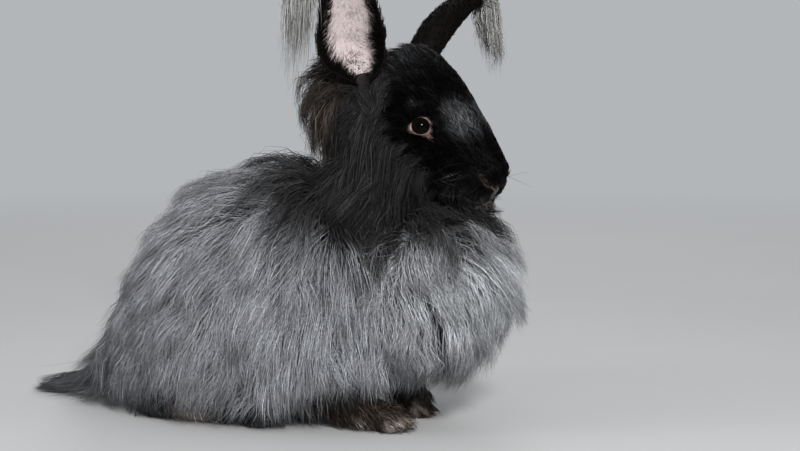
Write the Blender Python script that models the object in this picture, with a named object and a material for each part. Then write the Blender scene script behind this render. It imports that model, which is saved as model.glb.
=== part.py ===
"""An angora rabbit, life size, sitting with its head turned a little to its right.

Metres, +Z up. +X runs along the body towards the chest and +Y to the rabbit's left. The floor is Z = 0.
Each named part of the animal is one closed solid, and neighbours keep GAP between them.
"""

import math

import bmesh
import bpy
import numpy as np
from mathutils import Matrix, Vector

# Driving sizes
GAP = 0.0004
HEM_CLEAR = 0.0030
TAIL_CLEAR = 0.0012
MIDDLE = Vector((0.0077, -0.0049, 0.0))

WOOL_LENGTH = 0.056
MANE_LENGTH = 0.050
BIB_LENGTH = 0.047
CHEEK_LENGTH = 0.046
TAIL_WOOL_LENGTH = 0.058

HEAD_BASE = Vector((0.0762, 0.0070, 0.2385))
HEAD_YAW = math.radians(-13.0)
HEAD_PITCH = math.radians(31.0)

EYE_RADIUS = 0.0088
EYE_X = 0.0624
EYE_Y = 0.0246
EYE_Z = -0.0030

EAR_THICKNESS = 0.0030

WITHERS = Vector((0.078, 0.0, 0.200))
CROWN = Vector((0.128, 0.0, 0.238))

EYE_LIFT = 0.0036
LID_LENGTH = 0.0104
LID_HEIGHT = 0.0080
LID_THICKNESS = 0.0023
LID_TILT = math.radians(-12.0)
LID_TURN = math.radians(12.0)
LID_RINGS = 16
LID_SIDES = 5

# Lines cut in the face, in head coordinates on the left side
GROOVE_RADIUS = 0.0012
LIP_CLEFT = ((0.1218, 0.0, -0.0110), (0.1210, 0.0, -0.0180), (0.1180, 0.0, -0.0270))
NOSTRIL = ((0.1220, 0.0014, -0.0095), (0.1212, 0.0052, -0.0058), (0.1178, 0.0088, -0.0020))
MOUTH = (
    (0.1182, 0.0008, -0.0268),
    (0.1150, 0.0085, -0.0300),
    (0.1075, 0.0160, -0.0315),
    (0.0970, 0.0200, -0.0320),
)

EAR_RINGS = 11
EAR_POINTS = 8

# How the locks lie
DOWN = Vector((0.0, 0.0, -1.0))
ROOT_DEPTH = 0.0070
LOCK_STEPS = 4
TASSEL_STEPS = 6
LOCK_SWING = 0.16
FLOOR_STACK = 0.0022
FLOOR_REST = 0.0035
TRIES_PER_ROOT = 40

CHEST_MIDDLE = Vector((0.110, 0.0, 0.101))
CHEST_RADII = (0.050, 0.058, 0.054)
TAIL_MIDDLE = Vector((-0.118, 0.0, 0.0270))
TAIL_RADII = (0.036, 0.036, 0.0230)
FORE_TOE = (0.0085, 0.0036, 0.0058)
HIND_TOE = (0.0090, 0.0036, 0.0062)

# The neck and legs. Rows are x, y, z, half width and half height.
NECK_ROWS = (
    (0.060, 0.000, 0.118, 0.047, 0.038),
    (0.072, 0.000, 0.148, 0.047, 0.040),
    (0.080, 0.001, 0.176, 0.043, 0.038),
    (0.081, 0.003, 0.200, 0.037, 0.033),
    (0.078, 0.005, 0.216, 0.027, 0.025),
)
FORELEG_RIGHT_ROWS = (
    (0.040, -0.040, 0.036, 0.0125, 0.0130),
    (0.060, -0.039, 0.024, 0.0125, 0.0120),
    (0.082, -0.035, 0.0120, 0.0115, 0.0115),
    (0.102, -0.031, 0.0075, 0.0115, 0.0085),
)
FORELEG_LEFT_ROWS = (
    (0.062, 0.034, 0.075, 0.0125, 0.0130),
    (0.072, 0.031, 0.046, 0.0120, 0.0120),
    (0.082, 0.028, 0.020, 0.0110, 0.0110),
    (0.095, 0.026, 0.0080, 0.0115, 0.0090),
)
HINDLEG_ROWS = (
    (-0.082, 0.053, 0.0105, 0.0085, 0.0105),
    (-0.060, 0.053, 0.0105, 0.0118, 0.0118),
    (-0.020, 0.052, 0.0098, 0.0118, 0.0108),
    (0.014, 0.051, 0.0075, 0.0118, 0.0085),
)

# The ears, from their base. Rows are x, y, z, radius and half the angle of the wall.
EAR_BASE = (0.0050, 0.0240, -0.0030)
EAR_RIGHT_ROWS = (
    (0.0000, 0.0000, 0.0000, 0.0085, 2.70),
    (-0.0008, -0.0045, 0.0120, 0.0192, 1.95),
    (-0.0045, -0.0090, 0.0260, 0.0238, 1.62),
    (-0.0045, -0.0160, 0.0560, 0.0180, 1.50),
    (-0.0125, -0.0235, 0.0800, 0.0115, 1.45),
    (-0.0205, -0.0315, 0.0980, 0.0050, 1.45),
)
EAR_LEFT_ROWS = (
    (0.0000, 0.0000, 0.0000, 0.0080, 2.70),
    (0.0080, 0.0145, 0.0230, 0.0112, 2.30),
    (0.0115, 0.0310, 0.0360, 0.0120, 2.00),
    (0.0160, 0.0485, 0.0470, 0.0108, 1.85),
    (0.0219, 0.0650, 0.0535, 0.0085, 1.70),
    (0.0285, 0.0745, 0.0530, 0.0050, 1.60),
)
EAR_RIGHT_OPENING = Vector((0.42, -0.90, 0.10))
EAR_LEFT_OPENING = Vector((0.25, 0.60, -0.60))
TASSEL_RIGHT = dict(
    seed=61,
    count=6,
    reach=0.70,
    out=Vector((-0.72, -0.36, 0.45)),
    across=Vector((-0.20, -0.35, 0.0)),
    face=Vector((0.42, -0.90, 0.0)),
    length=0.112,
    half_width=0.0078,
)
TASSEL_LEFT = dict(
    seed=62,
    count=5,
    reach=0.70,
    out=Vector((0.55, 0.35, 0.10)),
    across=Vector((-0.35, 0.10, 0.0)),
    face=Vector((0.42, -0.90, 0.0)),
    length=0.058,
    half_width=0.0075,
)

# Colours of the coat and skin, as linear red, green and blue
SMOKE = (0.130, 0.130, 0.134)
DARK_SMOKE = (0.030, 0.029, 0.030)
BLACK = (0.0065, 0.0060, 0.0060)
BIB_GREY = (0.225, 0.225, 0.232)
FOOT_BROWN = (0.020, 0.014, 0.011)
EYE_BROWN = (0.004, 0.0035, 0.004)
CLAW_HORN = (0.10, 0.07, 0.05)

# Profiles of the cores. Rows are x, top, bottom and half width.
TORSO_ROWS = (
    (-0.118, 0.054, 0.026, 0.010),
    (-0.112, 0.080, 0.014, 0.038),
    (-0.094, 0.113, 0.008, 0.062),
    (-0.063, 0.146, 0.007, 0.079),
    (-0.024, 0.167, 0.007, 0.086),
    (0.016, 0.174, 0.008, 0.085),
    (0.050, 0.173, 0.012, 0.078),
    (0.079, 0.163, 0.020, 0.066),
    (0.102, 0.145, 0.034, 0.050),
    (0.118, 0.121, 0.050, 0.029),
    (0.124, 0.104, 0.066, 0.010),
)
HEAD_ROWS = (
    (-0.0270, -0.0080, -0.0240, 0.0100),
    (-0.0200, 0.0000, -0.0340, 0.0220),
    (-0.0080, 0.0085, -0.0450, 0.0310),
    (0.0060, 0.0185, -0.0520, 0.0350),
    (0.0180, 0.0260, -0.0555, 0.0365),
    (0.0300, 0.0300, -0.0570, 0.0365),
    (0.0450, 0.0300, -0.0560, 0.0342),
    (0.0610, 0.0258, -0.0535, 0.0295),
    (0.0780, 0.0195, -0.0500, 0.0245),
    (0.0940, 0.0135, -0.0465, 0.0195),
    (0.1065, 0.0085, -0.0430, 0.0155),
    (0.1150, 0.0040, -0.0380, 0.0125),
    (0.1185, -0.0015, -0.0300, 0.0080),
)
CORE_SIDES = 20
TORSO_RINGS = 14
TORSO_BELLY = 0.40
HEAD_RINGS = 16
HEAD_BELLY = 0.50
ROUNDNESS = 0.86


def clear_scene():
    """An empty file to model in."""
    for item in list(bpy.data.objects):
        bpy.data.objects.remove(item, do_unlink=True)


def smooth_rows(rows, count, measured=None):
    """Rows read at even steps from a smooth curve through the given ones.

    The steps are even along the first measured values of the rows, or along all of them.
    """
    rows = np.array(rows, float)
    steps = np.linalg.norm(np.diff(rows[:, :measured], axis=0), axis=1)
    at = np.concatenate([[0.0], np.cumsum(steps)])
    found = []
    for s in np.linspace(0.0, at[-1], count):
        i = min(int(np.searchsorted(at, s, side="right")) - 1, len(rows) - 2)
        t = (s - at[i]) / (at[i + 1] - at[i])
        a, b = rows[i], rows[i + 1]
        before = rows[i - 1] if i else 2 * a - b
        after = rows[i + 2] if i + 2 < len(rows) else 2 * b - a
        bend = 2 * before - 5 * a + 4 * b - after
        twist = 3 * a - before - 3 * b + after
        found.append(0.5 * (2 * a + (b - before) * t + bend * t**2 + twist * t**3))
    return np.array(found)


def new_object(name, points, faces):
    """A mesh object with these points and faces, its normals facing out."""
    mesh = bpy.data.meshes.new(name)
    mesh.from_pydata([tuple(p) for p in points], [], faces)
    work = bmesh.new()
    work.from_mesh(mesh)
    bmesh.ops.recalc_face_normals(work, faces=work.faces)
    bmesh.ops.triangulate(work, faces=work.faces)
    work.to_mesh(mesh)
    work.free()
    made = bpy.data.objects.new(name, mesh)
    bpy.context.scene.collection.objects.link(made)
    return made


def skin_rings(name, rings, first_tip, last_tip):
    """A closed mesh through rings of equally many points, each end drawn in to a tip."""
    sides = len(rings[0])
    points = [p for ring in rings for p in ring]
    faces = []
    for i in range(len(rings) - 1):
        for k in range(sides):
            n = (k + 1) % sides
            faces.append((i * sides + k, i * sides + n, (i + 1) * sides + n, (i + 1) * sides + k))
    for tip, start in ((first_tip, 0), (last_tip, (len(rings) - 1) * sides)):
        points.append(tip)
        at = len(points) - 1
        faces += [(start + k, start + (k + 1) % sides, at) for k in range(sides)]
    return new_object(name, points, faces)


def egg_ring(top, bottom, half_width, belly):
    """Y and Z of a rounded section, widest at the share belly of its height."""
    middle = bottom + (top - bottom) * belly
    ring = []
    for k in range(CORE_SIDES):
        angle = 2 * math.pi * k / CORE_SIDES
        c, s = math.cos(angle), math.sin(angle)
        across = half_width * math.copysign(abs(c) ** ROUNDNESS, c)
        reach = top - middle if s > 0 else middle - bottom
        ring.append((across, middle + reach * math.copysign(abs(s) ** ROUNDNESS, s)))
    return ring


def loft(name, rows, count, belly, place, grow):
    """A body lofted along its own X axis, from rows of x, top, bottom and half width."""
    rows = smooth_rows(rows, count)
    rings = []
    for x, top, bottom, half_width in rows:
        ring = egg_ring(top + grow, bottom - grow, half_width + grow, belly)
        rings.append([place @ Vector((x, y, z)) for y, z in ring])
    ends = []
    for row, step in ((rows[0], -1), (rows[-1], 1)):
        height = row[2] + (row[1] - row[2]) * belly
        nose = min(0.3 * (row[1] - row[2]), 0.3 * row[3])
        ends.append(place @ Vector((row[0] + step * (nose + grow), 0.0, height)))
    return skin_rings(name, rings, *ends)


def frames_along(points, up):
    """Side and up directions at each point of a path."""
    found = []
    for i, point in enumerate(points):
        along = points[min(i + 1, len(points) - 1)] - points[max(i - 1, 0)]
        side = along.cross(up).normalized()
        found.append((point, side, side.cross(along).normalized(), along.normalized()))
    return found


def limb(name, rows, count, sides, up, grow=0.0):
    """A bent body from rows of x, y, z, half width and half height along its middle line."""
    rows = smooth_rows(rows, count)
    path = [Vector(row[:3]) for row in rows]
    rings = []
    frames = frames_along(path, up)
    for (point, side, over, _), row in zip(frames, rows):
        ring = []
        for k in range(sides):
            angle = 2 * math.pi * k / sides
            ring.append(
                point
                + side * (row[3] + grow) * math.cos(angle)
                + over * (row[4] + grow) * math.sin(angle)
            )
        rings.append(ring)
    first = path[0] - frames[0][3] * (0.4 * rows[0][4] + grow)
    last = path[-1] + frames[-1][3] * (0.4 * rows[-1][4] + grow)
    return skin_rings(name, rings, first, last)


def ball(name, centre, radii, segments, bands, grow=0.0, turn=None):
    """An ellipsoid, in bands from one end of its X axis to the other."""
    size = Matrix.Diagonal(Vector([r + grow for r in radii] + [1.0]))
    place = Matrix.Translation(centre) @ (turn or Matrix.Identity(4)) @ size
    rings = []
    for i in range(1, bands):
        bow = math.pi * i / bands
        ring = []
        for k in range(segments):
            angle = 2 * math.pi * k / segments
            across = math.sin(bow)
            ring.append(place @ Vector((-math.cos(bow), across * math.cos(angle), across * math.sin(angle))))
        rings.append(ring)
    return skin_rings(name, rings, place @ Vector((-1, 0, 0)), place @ Vector((1, 0, 0)))


def lock(name, path, out, half_width, height, grow=0.0):
    """A flat lock of wool with a low keel on its outer side. It swells from its root, then tapers."""
    frames = frames_along(path, out)
    base_angle = math.atan2(height, half_width)
    wide = grow / math.tan(base_angle / 2)
    high = grow / math.cos(base_angle)
    points, faces = [], [(2, 1, 0)]
    for i, (point, side, over, _) in enumerate(frames[:-1]):
        share = i / (len(path) - 1)
        swell = min(0.75 + 0.9 * share, 1.0) * (1 - share**2.4)
        w = half_width * swell + wide
        h = height * (1 - 0.7 * share)
        points += [
            point + side * w - over * (0.3 * h + grow),
            point + over * (0.7 * h + high),
            point - side * w - over * (0.3 * h + grow),
        ]
    for i in range(len(path) - 2):
        for k in range(3):
            n = (k + 1) % 3
            faces.append((i * 3 + k, i * 3 + n, (i + 1) * 3 + n, (i + 1) * 3 + k))
    last = (len(path) - 2) * 3
    points.append(path[-1] + frames[-1][3] * 3 * grow)
    faces += [(last + k, last + (k + 1) % 3, len(points) - 1) for k in range(3)]
    return new_object(name, points, faces)


def roots_on(core, spacing, seed, wanted):
    """Points with normals, spread evenly over the parts of a core that wanted accepts. Removes the core."""
    mesh = core.data
    corners = np.array([[tuple(mesh.vertices[i].co) for i in f.vertices] for f in mesh.polygons])
    areas = np.array([f.area for f in mesh.polygons])
    draw = np.random.default_rng(seed)
    tries = int(TRIES_PER_ROOT * areas.sum() / spacing**2)
    found, normals = np.zeros((0, 3)), []
    for i in draw.choice(len(areas), tries, p=areas / areas.sum()):
        u, v = sorted(draw.random(2))
        a, b, c = corners[i]
        point = a * u + b * (v - u) + c * (1 - v)
        if len(found) and np.linalg.norm(found - point, axis=1).min() < spacing:
            continue
        normal = mesh.polygons[int(i)].normal.copy()
        if wanted(Vector(point), normal):
            found = np.vstack([found, point])
            normals.append(normal)
    bpy.data.objects.remove(core, do_unlink=True)
    return [(Vector(point), normal) for point, normal in zip(found, normals)]


def lay_lock(root, normal, lie, length, lift, droop, lowest):
    """The path of a lock: out of the skin at its lift, along its lie, then drooping towards the floor."""
    flat = lie - normal * lie.dot(normal)
    if flat.length < 0.2:
        flat += DOWN - normal * DOWN.dot(normal)
    flat.normalize()
    point = root - normal * ROOT_DEPTH - flat * 0.4 * ROOT_DEPTH
    path = [point.copy()]
    for i in range(LOCK_STEPS):
        share = i / (LOCK_STEPS - 1)
        up = lift * (1 - share)
        heading = flat * math.cos(up) + normal * math.sin(up)
        heading = heading * (1 - droop * share) + DOWN * droop * share
        point = point + heading.normalized() * (length + ROOT_DEPTH) / LOCK_STEPS
        point.z = max(point.z, lowest + FLOOR_REST + FLOOR_STACK * (1 - share))
        path.append(point.copy())
    return path


def wool(core_of, coat, grow):
    """The locks of one coat, each a little varied in lie, length, lift and width."""
    draw = np.random.default_rng(coat["seed"] + 100)
    made = []
    for root, normal in roots_on(core_of(0.0), coat["spacing"], coat["seed"], coat["wanted"]):
        swing, longer, higher, wider = draw.uniform(-1, 1, 4)
        path = lay_lock(
            root,
            normal,
            Matrix.Rotation(LOCK_SWING * swing, 3, normal) @ coat["lie"](root),
            coat["length"] * coat["fall"](root) * (1 + 0.13 * longer),
            math.radians(coat["lift"]) * (1 + 0.2 * higher),
            coat["droop"],
            coat["lowest"],
        )
        half_width = coat["half_width"] * (1 + 0.15 * wider)
        made.append(lock("lock", path, normal, half_width, coat["height"], grow))
    return made


def woolly(core_of, coat, grow):
    """A core with its coat of locks, as one closed body."""
    body = join(core_of(grow), wool(core_of, coat, grow))
    return above(body, coat["lowest"] - grow)


def apply_boolean(body, others, operation):
    """Joins or cuts a body with closed mesh objects, which are then removed."""
    group = bpy.data.collections.new("operands")
    bpy.context.scene.collection.children.link(group)
    for other in others:
        bpy.context.scene.collection.objects.unlink(other)
        group.objects.link(other)
    step = body.modifiers.new(operation.lower(), "BOOLEAN")
    step.operation = operation
    step.operand_type = "COLLECTION"
    step.collection = group
    step.solver = "MANIFOLD"
    with bpy.context.temp_override(object=body, active_object=body):
        bpy.ops.object.modifier_apply(modifier=step.name)
    for other in others:
        bpy.data.objects.remove(other, do_unlink=True)
    bpy.data.collections.remove(group)
    return body


def keep_largest(body):
    """Drops every closed surface of a body but its largest."""
    work = bmesh.new()
    work.from_mesh(body.data)
    left, groups = set(work.verts), []
    while left:
        todo, group = [left.pop()], []
        while todo:
            at = todo.pop()
            group.append(at)
            near = {edge.other_vert(at) for edge in at.link_edges} & left
            left -= near
            todo += near
        groups.append(group)

    def extent(group):
        return sum(max(p.co[k] for p in group) - min(p.co[k] for p in group) for k in range(3))

    groups.sort(key=extent)
    bmesh.ops.delete(work, geom=[p for group in groups[:-1] for p in group], context="VERTS")
    bmesh.ops.triangulate(work, faces=work.faces)
    work.to_mesh(body.data)
    work.free()
    return body


def join(body, pieces):
    return keep_largest(apply_boolean(body, pieces, "UNION"))


def cut(body, cutters):
    return keep_largest(apply_boolean(body, cutters, "DIFFERENCE"))


def head_turn():
    """Head coordinates to the world: X from the ear base to the nose tip, Z out of the forehead."""
    turn = Matrix.Rotation(HEAD_YAW, 4, "Z") @ Matrix.Rotation(HEAD_PITCH, 4, "Y")
    return Matrix.Translation(HEAD_BASE) @ turn


def on_head(x, y, z):
    return head_turn() @ Vector((x, y, z))


def share_between(value, low, high):
    """0 below low, 1 above high, even between them."""
    return max(0.0, min(1.0, (value - low) / (high - low)))


def torso_core(grow):
    return loft("torso", TORSO_ROWS, TORSO_RINGS, TORSO_BELLY, Matrix.Identity(4), grow)


def torso_lie(point):
    """Away from the withers and down, and more to the rear over the rump."""
    rear = share_between(-point.x, 0.02, 0.10)
    return ((point - WITHERS).normalized() + Vector((-0.35 * rear, 0, 0.20 * rear - 0.60))).normalized()


def torso_fall(point):
    """The wool is longest low on the flanks."""
    return 0.90 + 0.36 * share_between(-point.z, -0.12, -0.03)


def torso_wanted(point, normal):
    under_mane = point.x > 0.040 and point.z > 0.150 and abs(point.y) < 0.050
    return point.z > 0.014 and normal.z > -0.85 and not under_mane and point.x < 0.104


def neck_core(grow):
    return limb("neck", NECK_ROWS, 7, 16, Vector((-1, 0, 0)), grow)


def neck_lie(point):
    """Back and down from the crown."""
    return ((point - CROWN).normalized() + Vector((-0.35, 0, -0.45))).normalized()


def neck_wanted(point, normal):
    return 0.126 < point.z < 0.214


def chest_core(grow):
    return ball("chest", CHEST_MIDDLE, CHEST_RADII, 16, 10, grow)


def chest_lie(point):
    """Down, and outwards from the breastbone."""
    return ((point - Vector((0.085, 0, 0.160))).normalized() + DOWN * 0.8).normalized()


def chest_wanted(point, normal):
    return normal.x > -0.25 and point.z > 0.060 and normal.z < 0.93


def tail_core(grow):
    return ball("tail", TAIL_MIDDLE, TAIL_RADII, 12, 8, grow)


def tail_lie(point):
    """Back and down, spread like a brush."""
    return Vector((-1.0, 6.0 * point.y, 0.10 - 15.0 * point.z)).normalized()


def tail_wanted(point, normal):
    return point.x < TAIL_MIDDLE.x + 0.006 and normal.z > -0.5


def cheek_lie(point):
    """Down and a little back from the ear base."""
    return Vector((-0.30, 0.0, -1.0)).normalized()


def cheek_wanted(point, normal):
    local = head_turn().inverted() @ point
    front = 0.028 - 0.62 * local.z
    return -0.014 < local.x < front and abs(local.y) > 0.008 and local.z < 0.010


def full_length(_):
    return 1.0


TORSO_COAT = dict(
    seed=11,
    spacing=0.0330,
    wanted=torso_wanted,
    lie=torso_lie,
    fall=torso_fall,
    length=WOOL_LENGTH,
    lift=36,
    droop=0.42,
    half_width=0.0180,
    height=0.0080,
    lowest=HEM_CLEAR,
)
MANE_COAT = dict(
    seed=21,
    spacing=0.0285,
    wanted=neck_wanted,
    lie=neck_lie,
    fall=full_length,
    length=MANE_LENGTH,
    lift=34,
    droop=0.45,
    half_width=0.0150,
    height=0.0066,
    lowest=HEM_CLEAR,
)
BIB_COAT = dict(
    seed=31,
    spacing=0.0275,
    wanted=chest_wanted,
    lie=chest_lie,
    fall=full_length,
    length=BIB_LENGTH,
    lift=34,
    droop=0.35,
    half_width=0.0146,
    height=0.0066,
    lowest=HEM_CLEAR,
)
TAIL_COAT = dict(
    seed=41,
    spacing=0.0190,
    wanted=tail_wanted,
    lie=tail_lie,
    fall=full_length,
    length=TAIL_WOOL_LENGTH,
    lift=8,
    droop=0.30,
    half_width=0.0105,
    height=0.0055,
    lowest=TAIL_CLEAR,
)
CHEEK_COAT = dict(
    seed=51,
    spacing=0.0240,
    wanted=cheek_wanted,
    lie=cheek_lie,
    fall=full_length,
    length=CHEEK_LENGTH,
    lift=24,
    droop=0.50,
    half_width=0.0122,
    height=0.0056,
    lowest=HEM_CLEAR,
)


def torso(grow=0.0):
    return woolly(torso_core, TORSO_COAT, grow)


def neck(grow=0.0):
    return woolly(neck_core, MANE_COAT, grow)


def chest(grow=0.0):
    return woolly(chest_core, BIB_COAT, grow)


def tail(grow=0.0):
    return woolly(tail_core, TAIL_COAT, grow)


def skull(grow):
    return loft("head", HEAD_ROWS, HEAD_RINGS, HEAD_BELLY, head_turn(), grow)


def eye_middle(side):
    return on_head(EYE_X, side * EYE_Y, EYE_Z)


def eye(name, side, grow=0.0):
    return ball(name, eye_middle(side), (EYE_RADIUS,) * 3, 14, 9, grow)


def lid(side, grow):
    """The rim of both lids as one almond ring round the eye."""
    tilt = Matrix.Rotation(LID_TILT, 4, "Y") @ Matrix.Rotation(-side * LID_TURN, 4, "Z")
    place = head_turn() @ Matrix.Translation((EYE_X + 0.0005, side * (EYE_Y + EYE_LIFT), EYE_Z)) @ tilt
    rings = []
    for i in range(LID_RINGS):
        turn = 2 * math.pi * i / LID_RINGS
        corner = 1.0 + 0.12 * max(0.0, math.cos(turn)) ** 6
        middle = Vector((LID_LENGTH * corner * math.cos(turn), 0.0, LID_HEIGHT * math.sin(turn)))
        out = middle.normalized()
        radius = LID_THICKNESS + grow
        ring = []
        for k in range(LID_SIDES):
            angle = 2 * math.pi * k / LID_SIDES
            around = out * radius * math.cos(angle) + Vector((0, radius * math.sin(angle), 0))
            ring.append(place @ (middle + around))
        rings.append(ring)
    points = [p for ring in rings for p in ring]
    faces = []
    for i in range(LID_RINGS):
        j = (i + 1) % LID_RINGS
        for k in range(LID_SIDES):
            n = (k + 1) % LID_SIDES
            faces.append((i * LID_SIDES + k, i * LID_SIDES + n, j * LID_SIDES + n, j * LID_SIDES + k))
    return new_object("lid", points, faces)


def muzzle(grow):
    """Whisker pads, chin and nose pad."""
    turn = head_turn().to_3x3().to_4x4()
    made = [
        ball("pad", on_head(0.1025, side * 0.0082, -0.0165), (0.0175, 0.0130, 0.0160), 12, 8, grow, turn)
        for side in (-1, 1)
    ]
    made.append(ball("chin", on_head(0.0995, 0.0, -0.0375), (0.0130, 0.0125, 0.0090), 10, 6, grow, turn))
    made.append(ball("nose", on_head(0.1150, 0.0, -0.0045), (0.0075, 0.0095, 0.0078), 10, 7, grow, turn))
    return made


def groove(points, radius):
    """A thin cutter that follows points given in head coordinates."""
    rows = [tuple(on_head(*point)) + (radius, radius) for point in points]
    return limb("groove", rows, len(points) + 1, 4, head_turn().to_3x3() @ Vector((1, 0, 0.3)))


def face_grooves():
    """The cleft of the lip, the nostrils and the line of the mouth."""
    made = [groove(LIP_CLEFT, GROOVE_RADIUS)]
    for side in (-1, 1):
        for line in (NOSTRIL, MOUTH):
            made.append(groove([(x, side * y, z) for x, y, z in line], GROOVE_RADIUS))
    return made


def head(grow=0.0):
    """The head with lids, muzzle and the long locks of its cheeks."""
    pieces = muzzle(grow) + [lid(side, grow) for side in (-1, 1)] + wool(skull, CHEEK_COAT, grow)
    body = join(skull(grow), pieces)
    return cut(body, face_grooves()) if grow == 0.0 else body


def ear(name, rows, opening, tassel, grow=0.0):
    """A cupped ear from rows of x, y, z, radius and half the angle that its wall covers, with its tassel."""
    rows = smooth_rows(rows, EAR_RINGS, measured=3)
    path = [Vector(row[:3]) for row in rows]
    rings = []
    for i, (point, row) in enumerate(zip(path, rows)):
        along = (path[min(i + 1, len(path) - 1)] - path[max(i - 1, 0)]).normalized()
        face = (opening - along * opening.dot(along)).normalized()
        side = along.cross(face)
        radius, half = row[3], row[4]
        half += grow / radius
        outer, inner = [], []
        for k in range(EAR_POINTS):
            angle = half * (2 * k / (EAR_POINTS - 1) - 1)
            way = side * math.sin(angle) - face * math.cos(angle)
            outer.append(point + way * (radius + grow))
            inner.append(point + way * (radius - EAR_THICKNESS - grow))
        rings.append(outer + inner[::-1])
    for ring, step in ((rings[0], path[0] - path[1]), (rings[-1], path[-1] - path[-2])):
        for k, point in enumerate(ring):
            ring[k] = point + step.normalized() * grow
    count = len(rings[0])
    points = [p for ring in rings for p in ring]
    faces = [tuple(range(count))[::-1], tuple(range(len(points) - count, len(points)))]
    for i in range(len(rings) - 1):
        for k in range(count):
            n = (k + 1) % count
            faces.append((i * count + k, i * count + n, (i + 1) * count + n, (i + 1) * count + k))
    body = new_object(name, points, faces)
    return join(body, hanging_locks(path, tassel, grow))


def hanging_locks(path, tassel, grow):
    """Locks that leave the tip of an ear, arch over and hang straight down."""
    draw = np.random.default_rng(tassel["seed"])
    made = []
    for i in range(tassel["count"]):
        share = i / (tassel["count"] - 1)
        swing, longer, arch = draw.uniform(-1, 1, 3)
        out = (tassel["out"] + tassel["across"] * (2 * share - 1)).normalized()
        length = tassel["length"] * (1 + 0.10 * longer)
        turned = 0.26 + 0.05 * arch
        line = [path[-1].lerp(path[-3], tassel["reach"] * share)]
        for step in range(TASSEL_STEPS):
            fall = share_between((step + 0.5) / TASSEL_STEPS, 0.0, turned)
            aside = out * (0.10 + 0.05 * swing)
            heading = out * (1 - fall) + (DOWN + Vector((aside.x, aside.y, 0))) * fall
            line.append(line[-1] + heading.normalized() * length / TASSEL_STEPS)
        made.append(lock("tassel", line, tassel["face"], tassel["half_width"], 0.0040, grow))
    return made


def toes(middle, heading, count, spread, radii, grow):
    """A row of rounded toes across the front of a foot."""
    turn = Matrix.Rotation(math.atan2(heading.y, heading.x), 4, "Z")
    across = Vector((-heading.y, heading.x, 0))
    made = []
    for i in range(count):
        offset = i - (count - 1) / 2
        back = heading * -0.0022 * abs(offset) ** 1.5
        centre = middle + across * offset * spread + back
        made.append(ball("toe", centre, radii, 7, 5, grow, turn))
    return made


def above(body, level):
    """The body above a level, cut flat there."""
    slab = bmesh.new()
    size = Matrix.Diagonal((1.0, 1.0, 0.1, 1.0))
    bmesh.ops.create_cube(slab, size=1.0, matrix=Matrix.Translation((0, 0, level - 0.05)) @ size)
    mesh = bpy.data.meshes.new("floor")
    slab.to_mesh(mesh)
    slab.free()
    cutter = bpy.data.objects.new("floor", mesh)
    bpy.context.scene.collection.objects.link(cutter)
    return cut(body, [cutter])


def foot(name, rows, toe_middle, heading, radii, grow=0.0):
    """A leg below the wool, with four toes."""
    heading = heading.normalized()
    leg = limb(name, rows, 6, 9, Vector((0, 0, 1)), grow)
    leg = join(leg, toes(toe_middle, heading, 4, radii[1] * 1.75, radii, grow))
    return above(leg, -grow)


def foreleg_right(grow=0.0):
    middle = Vector((0.1070, -0.0310, 0.0050))
    return foot("foreleg_right", FORELEG_RIGHT_ROWS, middle, Vector((1, 0.02, 0)), FORE_TOE, grow)


def foreleg_left(grow=0.0):
    middle = Vector((0.0990, 0.0255, 0.0050))
    return foot("foreleg_left", FORELEG_LEFT_ROWS, middle, Vector((1, 0, 0)), FORE_TOE, grow)


def hindleg_rows(side):
    return [(x, side * y, z, half_width, half_height) for x, y, z, half_width, half_height in HINDLEG_ROWS]


def hindleg(name, side, grow=0.0):
    middle = Vector((0.020, side * 0.0560, 0.0054))
    return foot(name, hindleg_rows(side), middle, Vector((1, side * 0.06, 0)), HIND_TOE, grow)


def ear_rows(rows, side):
    """The rows of an ear in world coordinates."""
    base = on_head(EAR_BASE[0], side * EAR_BASE[1], EAR_BASE[2])
    return [(base.x + x, base.y + y, base.z + z, radius, half) for x, y, z, radius, half in rows]


def ear_right(grow=0.0):
    return ear("ear_right", ear_rows(EAR_RIGHT_ROWS, -1), EAR_RIGHT_OPENING, TASSEL_RIGHT, grow)


def ear_left(grow=0.0):
    return ear("ear_left", ear_rows(EAR_LEFT_ROWS, 1), EAR_LEFT_OPENING, TASSEL_LEFT, grow)


def eye_right(grow=0.0):
    return eye("eye_right", -1, grow)


def eye_left(grow=0.0):
    return eye("eye_left", 1, grow)


def hindleg_right(grow=0.0):
    return hindleg("hindleg_right", -1, grow)


def hindleg_left(grow=0.0):
    return hindleg("hindleg_left", 1, grow)


def material(name, colour, roughness):
    made = bpy.data.materials.new(name)
    made.use_nodes = True
    shader = made.node_tree.nodes["Principled BSDF"]
    shader.inputs["Base Color"].default_value = (*colour, 1.0)
    shader.inputs["Roughness"].default_value = roughness
    shader.inputs["Metallic"].default_value = 0.0
    made.diffuse_color = (*colour, 1.0)
    return made


# Every part with the parts that it keeps clear of, its colour and its roughness
PARTS = (
    (eye_right, (), EYE_BROWN, 0.08),
    (eye_left, (), EYE_BROWN, 0.08),
    (head, (eye_right, eye_left), BLACK, 0.55),
    (ear_right, (head,), BLACK, 0.60),
    (ear_left, (head,), BLACK, 0.60),
    (neck, (head, ear_right, ear_left), DARK_SMOKE, 0.80),
    (foreleg_right, (), FOOT_BROWN, 0.75),
    (foreleg_left, (), FOOT_BROWN, 0.75),
    (hindleg_right, (), FOOT_BROWN, 0.75),
    (hindleg_left, (), FOOT_BROWN, 0.75),
    (chest, (head, neck, foreleg_right, foreleg_left), BIB_GREY, 0.85),
    (tail, (hindleg_right, hindleg_left), DARK_SMOKE, 0.80),
    (torso, (neck, chest, foreleg_right, foreleg_left, hindleg_right, hindleg_left, tail, head), SMOKE, 0.85),
)


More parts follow.
